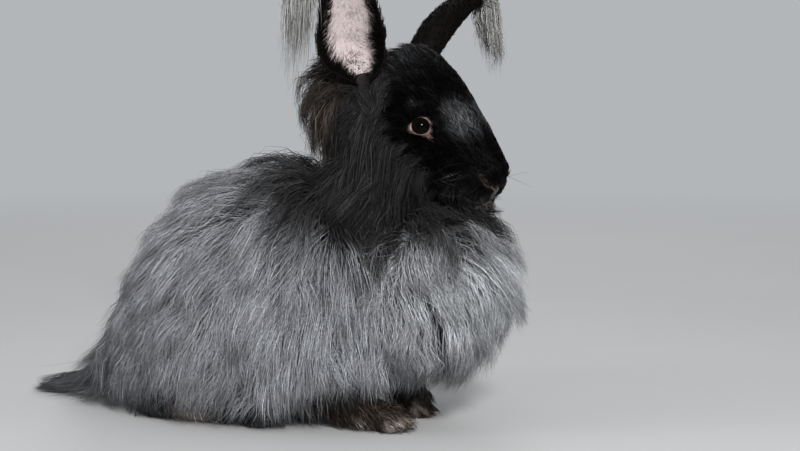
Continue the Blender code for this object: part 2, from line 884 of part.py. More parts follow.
def main():
    clear_scene()
    for make, clear_of, colour, roughness in PARTS:
        body = make()
        for other in clear_of:
            body = cut(body, [other(GAP)])
        body.name = make.__name__
        body.data.name = make.__name__
        body.data.materials.clear()
        body.data.materials.append(material(make.__name__ + "_material", colour, roughness))
        body.data.transform(Matrix.Translation(MIDDLE))


main()
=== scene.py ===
"""The look of the angora rabbit: one skin, its wool and fur, eyes, whiskers and claws."""

import math

import bmesh
import bpy
import numpy as np
from mathutils import Matrix, Vector
from mathutils.bvhtree import BVHTree
from mathutils.kdtree import KDTree


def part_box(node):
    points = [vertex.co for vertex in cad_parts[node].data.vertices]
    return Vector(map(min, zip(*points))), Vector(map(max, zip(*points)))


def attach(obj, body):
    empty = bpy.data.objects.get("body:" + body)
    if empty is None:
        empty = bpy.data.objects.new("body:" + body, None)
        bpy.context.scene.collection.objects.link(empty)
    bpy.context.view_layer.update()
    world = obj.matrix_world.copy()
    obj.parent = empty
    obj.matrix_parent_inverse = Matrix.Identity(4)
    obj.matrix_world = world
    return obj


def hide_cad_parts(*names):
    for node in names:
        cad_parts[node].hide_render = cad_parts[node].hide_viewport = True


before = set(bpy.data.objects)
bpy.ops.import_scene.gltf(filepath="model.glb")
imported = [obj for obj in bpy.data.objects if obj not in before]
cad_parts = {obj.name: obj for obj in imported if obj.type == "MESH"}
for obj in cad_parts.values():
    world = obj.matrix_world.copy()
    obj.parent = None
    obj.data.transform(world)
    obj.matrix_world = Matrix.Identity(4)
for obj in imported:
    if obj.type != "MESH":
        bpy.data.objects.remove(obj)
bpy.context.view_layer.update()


def tenths(*rows):
    """Rows given in tenths of a millimetre, as metres."""
    return np.array(rows) / 1e4


# The animal's frame: the same named shapes as its solids
HEAD_BASE = Vector((0.0762, 0.007, 0.2385))
HEAD_YAW, HEAD_PITCH = math.radians(-13.0), math.radians(31.0)
EYE_RADIUS = 0.0088
EYE_PLACE = (0.0624, 0.0246, -0.003)
EYE_LOOK = (0.4, 0.83, 0.36)
# Round the eye, from its rear corner over the lower lid: degrees, opening, bare skin beyond it, its paleness
LID_ROWS = (
    (-180, 0.006, 0.0022, 1.1), (-160, 0.006, 0.0027, 1.5), (-140, 0.0058, 0.0019, 1.2),
    (-118, 0.0055, 0.0009, 0.7), (-90, 0.0054, 0.0008, 0.6), (-62, 0.0056, 0.002, 0.8),
    (-40, 0.006, 0.0074, 0.75), (-20, 0.0061, 0.0036, 0.9), (0, 0.0061, 0.0026, 0.95),
    (35, 0.0059, 0.0021, 0.85), (62, 0.0057, 0.0012, 0.7), (90, 0.0055, 0.0007, 0.4),
    (115, 0.0055, 0.0004, 0.03), (158, 0.0058, 0.0006, 0.02), (180, 0.006, 0.0022, 1.1),
)
CHEST_MIDDLE = Vector((0.11, 0.0, 0.101))
CHEST_RADII = (0.05, 0.058, 0.054)
# Along X: x, top, bottom, half width
TORSO_ROWS = tenths(
    (-1180, 540, 260, 100), (-1120, 800, 140, 380), (-940, 1130, 80, 620), (-630, 1460, 70, 790),
    (-240, 1670, 70, 860), (160, 1740, 80, 850), (500, 1730, 120, 780), (790, 1630, 200, 660),
    (1020, 1450, 340, 500), (1180, 1210, 500, 290), (1240, 1040, 660, 100),
)
HEAD_ROWS = tenths(
    (-270, -80, -240, 100), (-200, 0, -340, 220), (-80, 85, -450, 310), (60, 185, -520, 350),
    (180, 260, -555, 365), (300, 300, -570, 365), (450, 300, -560, 342), (610, 258, -535, 295),
    (780, 195, -500, 245), (940, 135, -465, 195), (1065, 85, -430, 155), (1150, 40, -380, 125),
    (1185, -15, -300, 80),
)
# Limbs: x, y, z, half width, half height
NECK_ROWS = tenths(
    (600, 0, 1180, 470, 380), (720, 0, 1480, 470, 400), (800, 10, 1760, 430, 380),
    (810, 30, 2000, 370, 330), (780, 50, 2160, 270, 250),
)
FORELEG_RIGHT_ROWS = tenths(
    (400, -400, 360, 125, 130), (600, -390, 240, 125, 120),
    (820, -350, 120, 115, 115), (1020, -310, 75, 115, 85),
)
FORELEG_LEFT_ROWS = tenths(
    (620, 340, 750, 125, 130), (720, 310, 460, 120, 120),
    (820, 280, 200, 110, 110), (950, 260, 80, 115, 90),
)
HINDLEG_ROWS = tenths(
    (-820, 530, 105, 85, 105), (-600, 530, 105, 118, 118),
    (-200, 520, 98, 118, 108), (140, 510, 75, 118, 85),
)
TAIL_ROWS = tenths((-880, 0, 380, 160, 160), (-1150, 0, 260, 120, 110), (-1420, 0, 140, 60, 60))
# Each foot's toes: middle, radii, turn outward
TOES = (
    ((0.107, -0.031, 0.005), (0.0085, 0.0036, 0.0058), 0.02),
    ((0.099, 0.0255, 0.005), (0.0085, 0.0036, 0.0058), 0.0),
    ((0.02, -0.051, 0.0054), (0.009, 0.0036, 0.0062), -0.06),
    ((0.02, 0.051, 0.0054), (0.009, 0.0036, 0.0062), 0.06),
)
EAR_BASE = (0.005, 0.024, -0.003)
# Up each ear: x, y, z, radius, half angle of the cup; then the way it opens and its side
EAR_RIGHT_ROWS = (
    (0, 0, 0, 0.0085, 2.7), (-0.0008, -0.0045, 0.012, 0.0192, 1.95),
    (-0.0045, -0.009, 0.026, 0.0238, 1.62), (-0.0045, -0.016, 0.056, 0.018, 1.5),
    (-0.0125, -0.0235, 0.08, 0.0115, 1.45), (-0.0205, -0.0315, 0.098, 0.005, 1.45),
)
EAR_LEFT_ROWS = (
    (0, 0, 0, 0.008, 2.7), (0.008, 0.0145, 0.023, 0.0112, 2.3),
    (0.0115, 0.031, 0.036, 0.012, 2.00), (0.016, 0.0485, 0.047, 0.0108, 1.85),
    (0.0219, 0.065, 0.0535, 0.0085, 1.7), (0.0285, 0.0745, 0.053, 0.005, 1.6),
)
EARS = {
    "ear_right": (EAR_RIGHT_ROWS, (0.42, -0.9, 0.1), -1),
    "ear_left": (EAR_LEFT_ROWS, (0.25, 0.6, -0.6), 1),
}

# How deep the skin lies under the solids' cores, and the size of its faces
WOOL_DEPTH = 0.012
FUR_DEPTH = 0.0012
SKIN_GRAIN = 0.0013

# Times that the regions, the lie and the sizes are averaged with their neighbours
REGION_BLEND, LIE_BLEND, SIZE_BLEND = 40, 30, 10

# Lines of the face, drawn on to the skin
LIP_CLEFT = tenths((1220, 0, -135), (1205, 0, -190), (1190, 0, -245))
NOSTRIL = tenths((1215, 10, -146), (1200, 60, -138), (1170, 110, -116), (1135, 138, -88))
MOUTH = tenths((1192, 6, -245), (1178, 40, -290), (1150, 75, -335), (1105, 105, -370))
FACE_LINES = (LIP_CLEFT, NOSTRIL, MOUTH)
# How deep and how wide each of them is cut, and the height, distance and width of the swelling beside it
CUT_DEPTHS = (0.0011, 0.002, 0.0014)
CUT_WIDTHS = (0.001, 0.0012, 0.0011)
DEEPEST_CUT = 0.0021
LIP_SWELL, LIP_DISTANCE, LIP_WIDTH = 0.0006, 0.0032, 0.0013

# Where the long cheek hair starts: height and length along the head
CHEEK_EDGE = tenths(
    (-600, 960), (-420, 910), (-230, 820), (-175, 660), (-150, 500),
    (-50, 380), (100, 310), (180, 180), (260, -40),
)
RUFF_HEM = 0.116
TAIL_REACH = 0.2075
MANTLE_MIDDLE = (0.0925, 0.0, 0.215)
MANTLE_RADII = (0.0985, 0.132, 0.112)
FLOOR_CLEAR = 0.0014
FAR = 9.0

# The cornea's rise and spread, and the edges of the pupil and the iris, as angles from the eye's axis
CORNEA_RISE, CORNEA_SPREAD = 0.0007, 0.62
PUPIL_EDGE, IRIS_EDGE = (0.3, 0.36), (0.74, 0.84)
# Half thicknesses of single hairs and of a claw, and the claw's length and droop
LIP_HAIR, WHISKER, TASSEL_HAIR = 0.00022, 0.00011, 0.00036
CLAW_HALF, CLAW_LENGTH, CLAW_DROOP = 0.0011, 0.0058, 0.0026
# Shares of hairs that fly away, that are pale, and that are painted brighter as glints of light
FLYAWAY_SHARE, PALE_SHARE, GLINT_SHARE = 0.035, 0.12, 0.3
# How far the tone of a lock and of a single strand strays, and the skin's tone under the coat, darkened as
# painted shade
LOCK_STRAY, STRAND_STRAY = 0.08, 0.15
UNDER_COAT_SHADE = 0.7


def colour(code):
    """A hex sRGB colour as linear red, green and blue."""
    values = [int(code[i : i + 2], 16) / 255 for i in (1, 3, 5)]
    return np.array([v / 12.92 if v <= 0.04045 else ((v + 0.055) / 1.055) ** 2.4 for v in values])


FLANK_GREY = colour("#909296")
# Painted shade of the rear, where the light falls off
RUMP_SHADE_GREY = colour("#747679")
BIB_SILVER = colour("#a6a8ab")
BIB_SHADE = colour("#5a5c60")
MANE_BLACK = colour("#0f0e0f")
RUFF_GREY = colour("#2c2b2b")
BACK_GREY = colour("#717274")
# Dark grey of the tail and the hind feet, also painted as shade low at the rear
TAIL_GREY_AND_SHADE = colour("#3e3f42")
FACE_BLACK = colour("#050404")
# Pale grey: a painted highlight on the nose bridge, and pale hair on the crown and the brows
GRIZZLE_AND_SHEEN_GREY = colour("#5c5e60")
FOOT_BROWN = colour("#38312d")
TOE_CREAM = colour("#9c9188")
NAPE_BROWN = colour("#564a41")
CHIN_BROWN = colour("#301914")
LIP_GREY = colour("#6e6a66")
NOSE_PINK = colour("#83716a")
EAR_PINK = colour("#b0a4a3")
EAR_RIM = colour("#0e0b0a")
TASSEL_GREY = colour("#939391")
LID_PINK = colour("#755f59")
PUPIL_BLACK = colour("#010102")
IRIS_BROWN = colour("#080505")
IRIS_RIM = colour("#040303")
WHISKER_BLACK = colour("#0e0d0d")
CLAW_BROWN = colour("#2a211c")
STUDIO_PALE = (*colour("#e1e4e8"), 1.0)
STUDIO_LIGHT = 0.6


def unit(v):
    """Vectors of length 1."""
    return v / np.maximum(np.linalg.norm(v, axis=-1, keepdims=True), 1e-9)


def ease(x, low, high):
    """0 below low, 1 above high, with soft ends."""
    t = np.clip((x - low) / (high - low), 0.0, 1.0)
    return t * t * (3 - 2 * t)


def bell(x, width):
    """1 at 0, falling softly to nothing at about twice the width."""
    return np.exp(-((x / width) ** 2))


def mix(base, other, share):
    """One colour led towards another by a share for each point."""
    return base + (other - base) * np.clip(share, 0, 1)[:, None]


def lengths_along(path):
    """The distance from the start of a path to each of its points."""
    return np.concatenate([[0.0], np.cumsum(np.linalg.norm(np.diff(path, axis=0), axis=1))])


def smooth_rows(rows, count):
    """Rows read at even steps from a smooth curve through the given ones."""
    rows = np.array(rows, float)
    at = lengths_along(rows[:, :3])
    found = []
    for s in np.linspace(0.0, at[-1], count):
        i = min(int(np.searchsorted(at, s, side="right")) - 1, len(rows) - 2)
        t = (s - at[i]) / (at[i + 1] - at[i])
        a, b = rows[i], rows[i + 1]
        before = rows[i - 1] if i else 2 * a - b
        after = rows[i + 2] if i + 2 < len(rows) else 2 * b - a
        cubic = (3 * a - before - 3 * b + after) * t**3
        found.append(0.5 * (2 * a + (b - before) * t + (2 * before - 5 * a + 4 * b - after) * t**2 + cubic))
    return np.array(found)


# Head coordinates to the animal's frame: X from the ear base to the nose tip, Z out of the forehead
head_turn = Matrix.Rotation(HEAD_YAW, 4, "Z") @ Matrix.Rotation(HEAD_PITCH, 4, "Y")
TURN = np.array(Matrix.Translation(HEAD_BASE) @ head_turn)


def on_head(points):
    """Head coordinates in the animal's frame."""
    return np.asarray(points, float) @ TURN[:3, :3].T + TURN[:3, 3]


def in_head(points):
    """The animal's frame in head coordinates."""
    return (np.asarray(points, float) - TURN[:3, 3]) @ TURN[:3, :3]


def ring_quads(rings, around):
    """The quads between closed rings of points."""
    quads = []
    for i in range(rings - 1):
        for k in range(around):
            n = (k + 1) % around
            quads.append((i * around + k, i * around + n, (i + 1) * around + n, (i + 1) * around + k))
    return quads


def tube(rings, first, last):
    """Points and faces of a closed body through rings, each end drawn in to a tip."""
    sides = len(rings[0])
    points = [p for ring in rings for p in ring] + [first, last]
    faces = ring_quads(len(rings), sides)
    end = (len(rings) - 1) * sides
    for k in range(sides):
        n = (k + 1) % sides
        faces += [(n, k, len(points) - 2), (end + k, end + n, len(points) - 1)]
    return np.array(points, float), faces


def loft(rows, belly, deep, place=tuple):
    """A body lofted along X from rows of x, top, bottom and half width, deep below those sizes."""
    sides, stations, power, thin = 40, 40, 0.86, 0.002
    rings = []
    for x, top, bottom, half in smooth_rows(rows, stations):
        top, bottom, half = top - deep, bottom + deep, max(half - deep, thin)
        if top < bottom + 2 * thin:
            middle = (top + bottom) / 2
            top, bottom = middle + thin, middle - thin
        middle = bottom + (top - bottom) * belly
        ring = []
        for k in range(sides):
            angle = 2 * math.pi * k / sides
            across, rise = (math.copysign(abs(v) ** power, v) for v in (math.cos(angle), math.sin(angle)))
            ring.append((x, half * across, middle + (top - middle if rise > 0 else middle - bottom) * rise))
        rings.append(ring)
    first, last = (np.mean(rings[i], axis=0) + (step, 0, 0) for i, step in ((0, -thin), (-1, thin)))
    return tube([[place(p) for p in ring] for ring in rings], place(first), place(last))


# Angles round a limb or a ball
ROUND = np.linspace(0, 2 * math.pi, 20, endpoint=False)


def limb(rows, count, up, deep):
    """A bent body from rows of x, y, z, half width and half height."""
    rows = smooth_rows(rows, count)
    path = rows[:, :3]
    along = unit(np.gradient(path, axis=0))
    side = unit(np.cross(along, up))
    over = np.cross(side, along)
    angles = ROUND[:, None]
    rings = []
    for p, s, o, row in zip(path, side, over, rows):
        rings.append(p + s * (row[3] - deep) * np.cos(angles) + o * (row[4] - deep) * np.sin(angles))
    return tube(rings, path[0] - along[0] * rows[0][4] * 0.4, path[-1] + along[-1] * rows[-1][4] * 0.4)


def ball(centre, radii, turn=np.eye(3)):
    """An ellipsoid."""
    levels = 14
    rings = []
    for i in range(1, levels):
        level, wide = -math.cos(math.pi * i / levels), math.sin(math.pi * i / levels)
        rings.append(np.stack([0 * ROUND + level, wide * np.cos(ROUND), wide * np.sin(ROUND)], 1))
    points, faces = tube(rings, (-1, 0, 0), (1, 0, 0))
    return points * np.array(radii) @ turn.T + np.array(centre), faces


def toes(spacing):
    """Middle, radii and heading of each toe of the four feet, spaced by a multiple of its half width."""
    for centre, radii, outward in TOES:
        heading = unit(np.array((1.0, outward, 0.0)))
        aside = np.array((-heading[1], heading[0], 0.0))
        for offset in (-1.5, -0.5, 0.5, 1.5):
            set_back = heading * 0.0022 * abs(offset) ** 1.5
            yield np.array(centre) + aside * offset * radii[1] * spacing - set_back, radii, heading


def body_parts():
    """The closed pieces that the skin wraps, each with the region that it belongs to."""
    made = [
        ("trunk", loft(TORSO_ROWS, 0.4, WOOL_DEPTH)),
        ("neck", limb(NECK_ROWS, 20, (-1, 0, 0), 0.01)),
        ("chest", ball(CHEST_MIDDLE, [r - WOOL_DEPTH for r in CHEST_RADII])),
        ("tail", limb(TAIL_ROWS, 14, (0, 0, 1), 0.003)),
        ("head", loft(HEAD_ROWS, 0.5, FUR_DEPTH, on_head)),
    ]
    # The whisker pads and brows, then the chin and the nose
    swellings = []
    for side in (-1, 1):
        brow = (EYE_PLACE[0] - 0.001, side * 0.0205, EYE_PLACE[2] + 0.002)
        swellings.append(((0.1025, side * 0.0082, -0.0165), (0.0165, 0.0122, 0.0152)))
        swellings.append((brow, (0.015, 0.0098, 0.013)))
    swellings.append(((0.101, 0.0, -0.0368), (0.0138, 0.012, 0.0086)))
    swellings.append(((0.1145, 0.0, -0.0045), (0.0072, 0.0088, 0.007)))
    made += [("head", ball(on_head(middle), radii, TURN[:3, :3])) for middle, radii in swellings]
    hind = [HINDLEG_ROWS * (1, side, 1, 1, 1) for side in (-1, 1)]
    for rows in (FORELEG_RIGHT_ROWS, FORELEG_LEFT_ROWS, *hind):
        made.append(("foot", limb(rows, 20, (0, 0, 1), 0.001)))
    return made + [("foot", ball(at, [r - 0.0006 for r in radii])) for at, radii, _ in toes(1.75)]


REGIONS = ("trunk", "neck", "chest", "tail", "head", "foot")


def placed(name, data):
    """A new object in the scene."""
    made = bpy.data.objects.new(name, data)
    bpy.context.scene.collection.objects.link(made)
    return made


def bare_mesh(name, points, faces):
    """A mesh from points and faces."""
    mesh = bpy.data.meshes.new(name)
    mesh.from_pydata([tuple(p) for p in points], [], faces)
    return mesh


def tree_of(points, faces):
    """A search tree of faces."""
    return BVHTree.FromPolygons([tuple(p) for p in points], [tuple(int(i) for i in face) for face in faces])


def wrapped_skin():
    """One even mesh round all the parts, with the region of each of its points."""
    points, faces, trees = [], [], {}
    start = 0
    for region, (some, its_faces) in body_parts():
        faces += [tuple(i + start for i in face) for face in its_faces]
        start += len(some)
        points.append(some)
        trees.setdefault(region, []).append(tree_of(some, its_faces))
    wrap = placed("wrap", bare_mesh("wrap", np.concatenate(points), faces))
    remesh = wrap.modifiers.new("even", "REMESH")
    remesh.mode, remesh.voxel_size = "VOXEL", SKIN_GRAIN
    soften = wrap.modifiers.new("soften", "SMOOTH")
    soften.factor, soften.iterations = 0.5, 6
    done = bpy.data.meshes.new_from_object(wrap.evaluated_get(bpy.context.evaluated_depsgraph_get()))
    bpy.data.objects.remove(wrap)
    place = np.empty(len(done.vertices) * 3)
    done.vertices.foreach_get("co", place)
    place = place.reshape(-1, 3)
    corners = np.empty(len(done.polygons) * 4, int)
    done.loops.foreach_get("vertex_index", corners)
    away = np.full((len(REGIONS), len(place)), FAR)
    for r, region in enumerate(REGIONS):
        for tree in trees[region]:
            for i, p in enumerate(place):
                hit = tree.find_nearest(p, 0.02)
                if hit[0] is not None and hit[3] < away[r, i]:
                    away[r, i] = hit[3]
    weights = np.zeros(away.shape)
    weights[away.argmin(axis=0), np.arange(len(place))] = 1.0
    return place, corners.reshape(-1, 4), weights


def edge_pairs(quads):
    """The two ends of each edge, once."""
    pairs = np.concatenate([quads[:, [i, (i + 1) % 4]] for i in range(4)])
    return np.unique(np.sort(pairs, axis=1), axis=0)


def spread(values, pairs, times):
    """Averages per-point values with their neighbours, many times over."""
    count = values.shape[-1]
    share = np.bincount(pairs.ravel(), minlength=count) + 1.0
    values = values.copy()
    for _ in range(times):
        for row in values:
            total = row + np.bincount(pairs[:, 0], row[pairs[:, 1]], count)
            total += np.bincount(pairs[:, 1], row[pairs[:, 0]], count)
            row[:] = total / share
    return values


def normals_of(place, quads):
    """Normals of the points and of the quads."""
    a, b, c, d = (place[quads[:, i]] for i in range(4))
    face = np.cross(c - a, d - b)
    found = np.zeros_like(place)
    for i in range(4):
        for k in range(3):
            found[:, k] += np.bincount(quads[:, i], face[:, k], len(place))
    return unit(found), unit(face)


def face_lines(points, lines):
    """Distances to the lip cleft, the nostrils and the mouth, the same on both sides."""
    local = in_head(points)
    near = (local[:, 0] > 0.08) & (np.abs(local[:, 1]) < 0.04)
    flip = local[near]
    flip[:, 1] = np.abs(flip[:, 1])
    found = []
    for line in lines:
        away = np.full(len(points), FAR)
        away[near] = np.linalg.norm(flip[:, None] - in_head(line)[None], axis=2).min(axis=1)
        found.append(away)
    return found


def carve_face(place, normals, lines):
    """Sinks the nostrils, the lip cleft and the mouth into the skin, and swells the lips beside them."""
    found = face_lines(place, lines)
    moved = 0.0
    for line, depth, width in zip(found, CUT_DEPTHS, CUT_WIDTHS):
        moved = moved - depth * bell(line, width)
    for line in found:
        moved += LIP_SWELL * bell(line - LIP_DISTANCE, LIP_WIDTH)
    return place + normals * np.maximum(moved, -DEEPEST_CUT)[:, None]


def noise(points, size, seed):
    """Smooth random values from -1 to 1 whose patches are about size metres."""
    phase = np.random.default_rng(seed).uniform(0, 2 * math.pi, (6, 3))
    turns = np.random.default_rng(seed + 1).normal(size=(6, 3, 3))
    total = np.zeros(len(points))
    for turn, shift in zip(turns, phase):
        wave = points @ unit(turn) * (2 * math.pi / size) + shift
        total += np.sin(wave[:, 0]) * np.sin(wave[:, 1]) + np.sin(wave[:, 2])
    return np.clip(total / 4.0, -1, 1)


def ear_sheets(rows, opening, side, rings=44, across=26):
    """The outer and inner sheets of a cupped ear as grids of points, with their path and its facing."""
    rows = smooth_rows(rows, rings)
    path = on_head((EAR_BASE[0], side * EAR_BASE[1], EAR_BASE[2])) + rows[:, :3]
    along = unit(np.gradient(path, axis=0))
    face = unit(np.array(opening) - along * (along @ np.array(opening))[:, None])
    aside = np.cross(along, face)
    turn = np.linspace(-1, 1, across)
    angle = rows[:, 4:5] * turn[None, :]
    way = aside[:, None] * np.sin(angle)[..., None] - face[:, None] * np.cos(angle)[..., None]
    thick = 0.0026 * (1 - 0.72 * np.abs(turn) ** 5)[None, :] * np.linspace(1.0, 0.55, rings)[:, None]
    wall = rows[:, 3][:, None] - FUR_DEPTH * 0.5
    return path[:, None] + way * wall[..., None], path[:, None] + way * (wall - thick)[..., None], path, face


def beside_ear(points, rows, opening, side):
    """Points by an ear: height up its path, offset across, offset ahead, its radius, its facing."""
    _, _, path, face = ear_sheets(rows, opening, side)
    radius = smooth_rows(rows, len(path))[:, 3]
    at = np.linalg.norm(points[:, None] - path[None, :24], axis=2).argmin(axis=1)
    along = unit(np.gradient(path, axis=0))[at]
    offset = points - path[at]
    up = lengths_along(path)[at] + np.sum(offset * along, axis=1)
    ahead = np.sum(offset * face[at], axis=1)
    across = np.sum(offset * np.cross(along, face[at]), axis=1)
    return up, across, ahead, radius[at], face[at]


def away_from_ears(points):
    """Distance from the wall of the lower half of either ear."""
    away = np.full(len(points), FAR)
    near = np.linalg.norm(points - on_head((0.0, 0.0, 0.0)), axis=1) < 0.09
    for ear in EARS.values():
        up, across, ahead, radius, _ = beside_ear(points[near], *ear)
        beyond = np.sqrt(across**2 + ahead**2 + np.minimum(up, 0.0) ** 2) - radius
        away[near] = np.minimum(away[near], beyond)
    return away


def hollow_before_ears(place):
    """Sinks the skin in front of each ear, so that its cup opens down to its foot."""
    place = place.copy()
    near = np.where(np.linalg.norm(place - on_head((0.0, 0.0, 0.0)), axis=1) < 0.07)[0]
    for ear in EARS.values():
        up, across, ahead, radius, face = beside_ear(place[near], *ear)
        inner = radius - 0.0026
        wall = -np.sqrt(np.maximum(inner**2 - across**2, 0.0)) - 0.0012
        floor = wall + 1.1 * np.maximum(np.abs(across) - inner, 0.0) + 1.3 * np.maximum(0.004 - up, 0.0)
        sink = np.where((ahead < 0.04) & (up < 0.06), np.maximum(ahead - floor, 0.0), 0.0)
        place[near] -= face * sink[:, None]
    return place


def eye_centre(side):
    """The middle of an eyeball, in the animal's frame."""
    return on_head((EYE_PLACE[0], side * EYE_PLACE[1], EYE_PLACE[2]))


def eye_axes(side):
    """Outward, level forward and up directions of an eye, in the animal's frame."""
    outward = unit(TURN[:3, :3] @ (np.array(EYE_LOOK) * (1, side, 1)))
    level = TURN[:3, 0] * (1, 1, 0)
    forward = unit(level - outward * (level @ outward))
    return outward, forward, np.cross(forward, outward) * side


def lid_shape(angle):
    """The eye's opening, the bare skin round it and its paleness, at angles from the front."""
    at, opening, bare, pale = np.array(LID_ROWS).T
    return np.interp(angle, at, opening), np.interp(angle, at, bare), np.interp(angle, at, pale)


def by_eye(points, side):
    """Points by an eye: height outward, reach from its axis, opening and bare skin there, its axis."""
    outward, forward, up = eye_axes(side)
    offset = points - eye_centre(side)
    ahead, above, out = offset @ forward, offset @ up, offset @ outward
    opening, bare, _ = lid_shape(np.degrees(np.arctan2(above, ahead)))
    return out, np.hypot(ahead, above), opening, bare, outward


def hollow_for_eyes(place):
    """Sinks the skin behind the eyeballs and the bare lids."""
    place = place.copy()
    for side in (-1, 1):
        out, reach, opening, bare, outward = by_eye(place, side)
        inside = 1.0 - ease(reach, opening + 0.2 * bare, opening + 0.9 * bare)
        level = np.sqrt(np.maximum(EYE_RADIUS**2 - reach**2, 0.0)) - 0.0018
        sink = np.where((out > 0.0) & (reach < 0.014), np.maximum(out - level, 0.0) * inside, 0.0)
        place -= outward * sink[:, None]
    return place


def clear_of_eyes(points):
    """0 on the bare skin of the eyes and lids, 1 where the fur starts."""
    keep = np.ones(len(points))
    for side in (-1, 1):
        out, reach, opening, bare, _ = by_eye(points, side)
        keep *= np.where(out > -0.004, ease(reach - opening - bare, -0.0006, 0.0006), 1.0)
    return keep


def behind_cheek_edge(local):
    """How far behind the edge of the long cheek hair each point is."""
    height, front = CHEEK_EDGE.T
    return np.interp(local[:, 2], height, front) - local[:, 0]


def cheek_share(local):
    """1 where the cheek and nape carry long hair, 0 on the short-haired face."""
    return ease(behind_cheek_edge(local), -0.004, 0.006)


def nape_and_crown(local):
    """The shares of the nape and of the crown between the ears."""
    ahead, _, above = local.T
    return ease(-ahead, -0.006, 0.008), ease(-ahead, -0.048, -0.02) * ease(above, 0.004, 0.018)


def mantle_share(points):
    """1 in the black mantle round the neck and over the shoulders, 0 outside its ragged edge."""
    away = np.linalg.norm((points - np.array(MANTLE_MIDDLE)) / MANTLE_RADII, axis=1)
    ragged = 0.07 * noise(points, 0.04, 21) + 0.05 * noise(points, 0.012, 22)
    return 1 - ease(away + ragged, 0.9, 1.1)


def coat_at(place, weights, lines):
    """Per-point lie, and length, lift, droop, curl, clumping, thickness and density of the coat."""
    trunk, neck, chest, tail, head, foot = weights
    local = in_head(place)
    ahead, aside, above = local.T
    cheek = head * cheek_share(local)
    x, y, z = place.T
    withers, crown, bib_top = (0.078, 0.0, 0.2), (0.11, 0.004, 0.245), (0.085, 0, 0.16)
    rear = ease(-x, 0.02, 0.1)
    lies = {
        "trunk": unit(place - withers) + np.stack([-0.35 * rear, 0 * x, 0.2 * rear - 0.6], 1),
        "neck": unit(place - crown) + (-0.55, 0, -0.45),
        "chest": unit(place - bib_top) + (0, 0, -0.85),
        "tail": np.stack([-1.0 + 0 * x, 3 * y, -0.18 - 5 * z - 2.4 * ease(z, 0.028, 0.05)], 1),
        "cheek": 0 * place + (-0.2, 0.0, -1.0),
        "foot": 0 * place + (0.8, 0.0, -0.55),
    }
    from_nose = local - (0.126, 0.0, -0.012)
    from_eye = local - np.array(EYE_PLACE) * np.stack([0 * x + 1, np.sign(aside), 0 * x + 1], 1)
    round_eye = bell(np.linalg.norm(from_eye, axis=1), 0.014)[:, None]
    face_lie = unit(from_nose) * (1 - 0.6 * round_eye) + unit(from_eye) * 0.6 * round_eye
    hanging = (ease(ahead, 0.085, 0.108) * ease(-above, 0.014, 0.026))[:, None]
    lies["face"] = (face_lie @ TURN[:3, :3].T) * (1 - hanging) + np.array((0.6, 0.0, -0.8)) * hanging
    names = ("trunk", "neck", "chest", "tail", "cheek", "foot", "face")
    shares = dict(zip(names, (trunk, neck, chest, tail, cheek, foot, head - cheek)))
    low = ease(-z, -0.12, -0.03)
    wedge = ease(-x, 0.06, 0.105) * ease(-z, -0.11, -0.05)
    lies["trunk"] = unit(lies["trunk"]) * (1 - wedge)[:, None] + np.array((-0.45, 0.0, -0.9)) * wedge[:, None]
    lie = sum(unit(lies[k]) * shares[k][:, None] for k in shares)
    ruff = np.clip((z - RUFF_HEM) * 1.02, 0.02, 0.06)
    ruff = 0.01 + (ruff - 0.01) * ease(behind_cheek_edge(local), -0.002, 0.022)
    nape, top = nape_and_crown(local)
    muzzle = ease(ahead, 0.085, 0.11)
    beard = ease(ahead, 0.085, 0.108) * ease(-above, 0.023, 0.034)
    dorsal = ease(z, 0.165, 0.195) * ease(0.085 - x, 0.0, 0.025)
    hip = ease(-x, 0.01, 0.07)
    rump = ease(-x, 0.045, 0.095) * ease(z, 0.07, 0.1) * (1 - ease(z, 0.155, 0.185))
    by_ear = 1.0 - ease(away_from_ears(place), 0.004, 0.02)
    # length, lift in degrees, droop, curl, clumping, half thickness, strands for a square metre
    sizes = {
        "trunk": (
            0.064 + 0.008 * low + 0.004 * wedge - 0.012 * hip - 0.015 * rump,
            np.maximum(44 - 23 * hip - 12 * dorsal, 18) + 10 * wedge * low,
            0.4 - 0.12 * wedge, 0.0046, 0.1, 0.0003, 335e3 * (1 - 0.75 * ease(-z, -0.036, -0.024)),
        ),
        "neck": (0.056, 40 - 26 * dorsal, 0.45, 0.004, 0.22, 0.00031, 600e3),
        "chest": (0.054, 47, 0.36, 0.006, 0.32, 0.00031, 570e3),
        "tail": (0.066, 11, 0.16, 0.0022, 0.25, 0.00033, 1600e3),
        "cheek": (
            ruff * (1 - 0.25 * nape) * (1 - 0.82 * by_ear),
            30 + 14 * nape - 20 * by_ear * (1 - nape),
            0.5, 0.0026 + 0.004 * nape, 0.26 + 0.3 * nape, 0.0003, 620e3,
        ),
        "foot": (
            0.0145 - 0.0055 * ease(x, 0.088, 0.106) + 0.012 * ease(z, 0.02, 0.045),
            40, 0.45, 0.002, 0.35, 0.00028, 250e3,
        ),
        "face": (
            0.0066 + 0.011 * top * (1 - 0.7 * by_ear) - 0.0024 * muzzle + 0.019 * beard,
            22 + 26 * top * (1 - 0.8 * by_ear) + 16 * beard,
            0.15 * beard, 0.0003 + 0.001 * top, 0.25, 0.00021 - 0.00003 * muzzle, 850e3,
        ),
    }
    fields = [sum(values[i] * shares[k] for k, values in sizes.items()) for i in range(7)]
    by_line = bell(np.min(face_lines(place, lines), axis=0), 0.0032)
    fields[0] = fields[0] * (1 + 0.1 * noise(place, 0.05, 3)) * (1 - 0.65 * by_line)
    return unit(lie), np.array(fields)


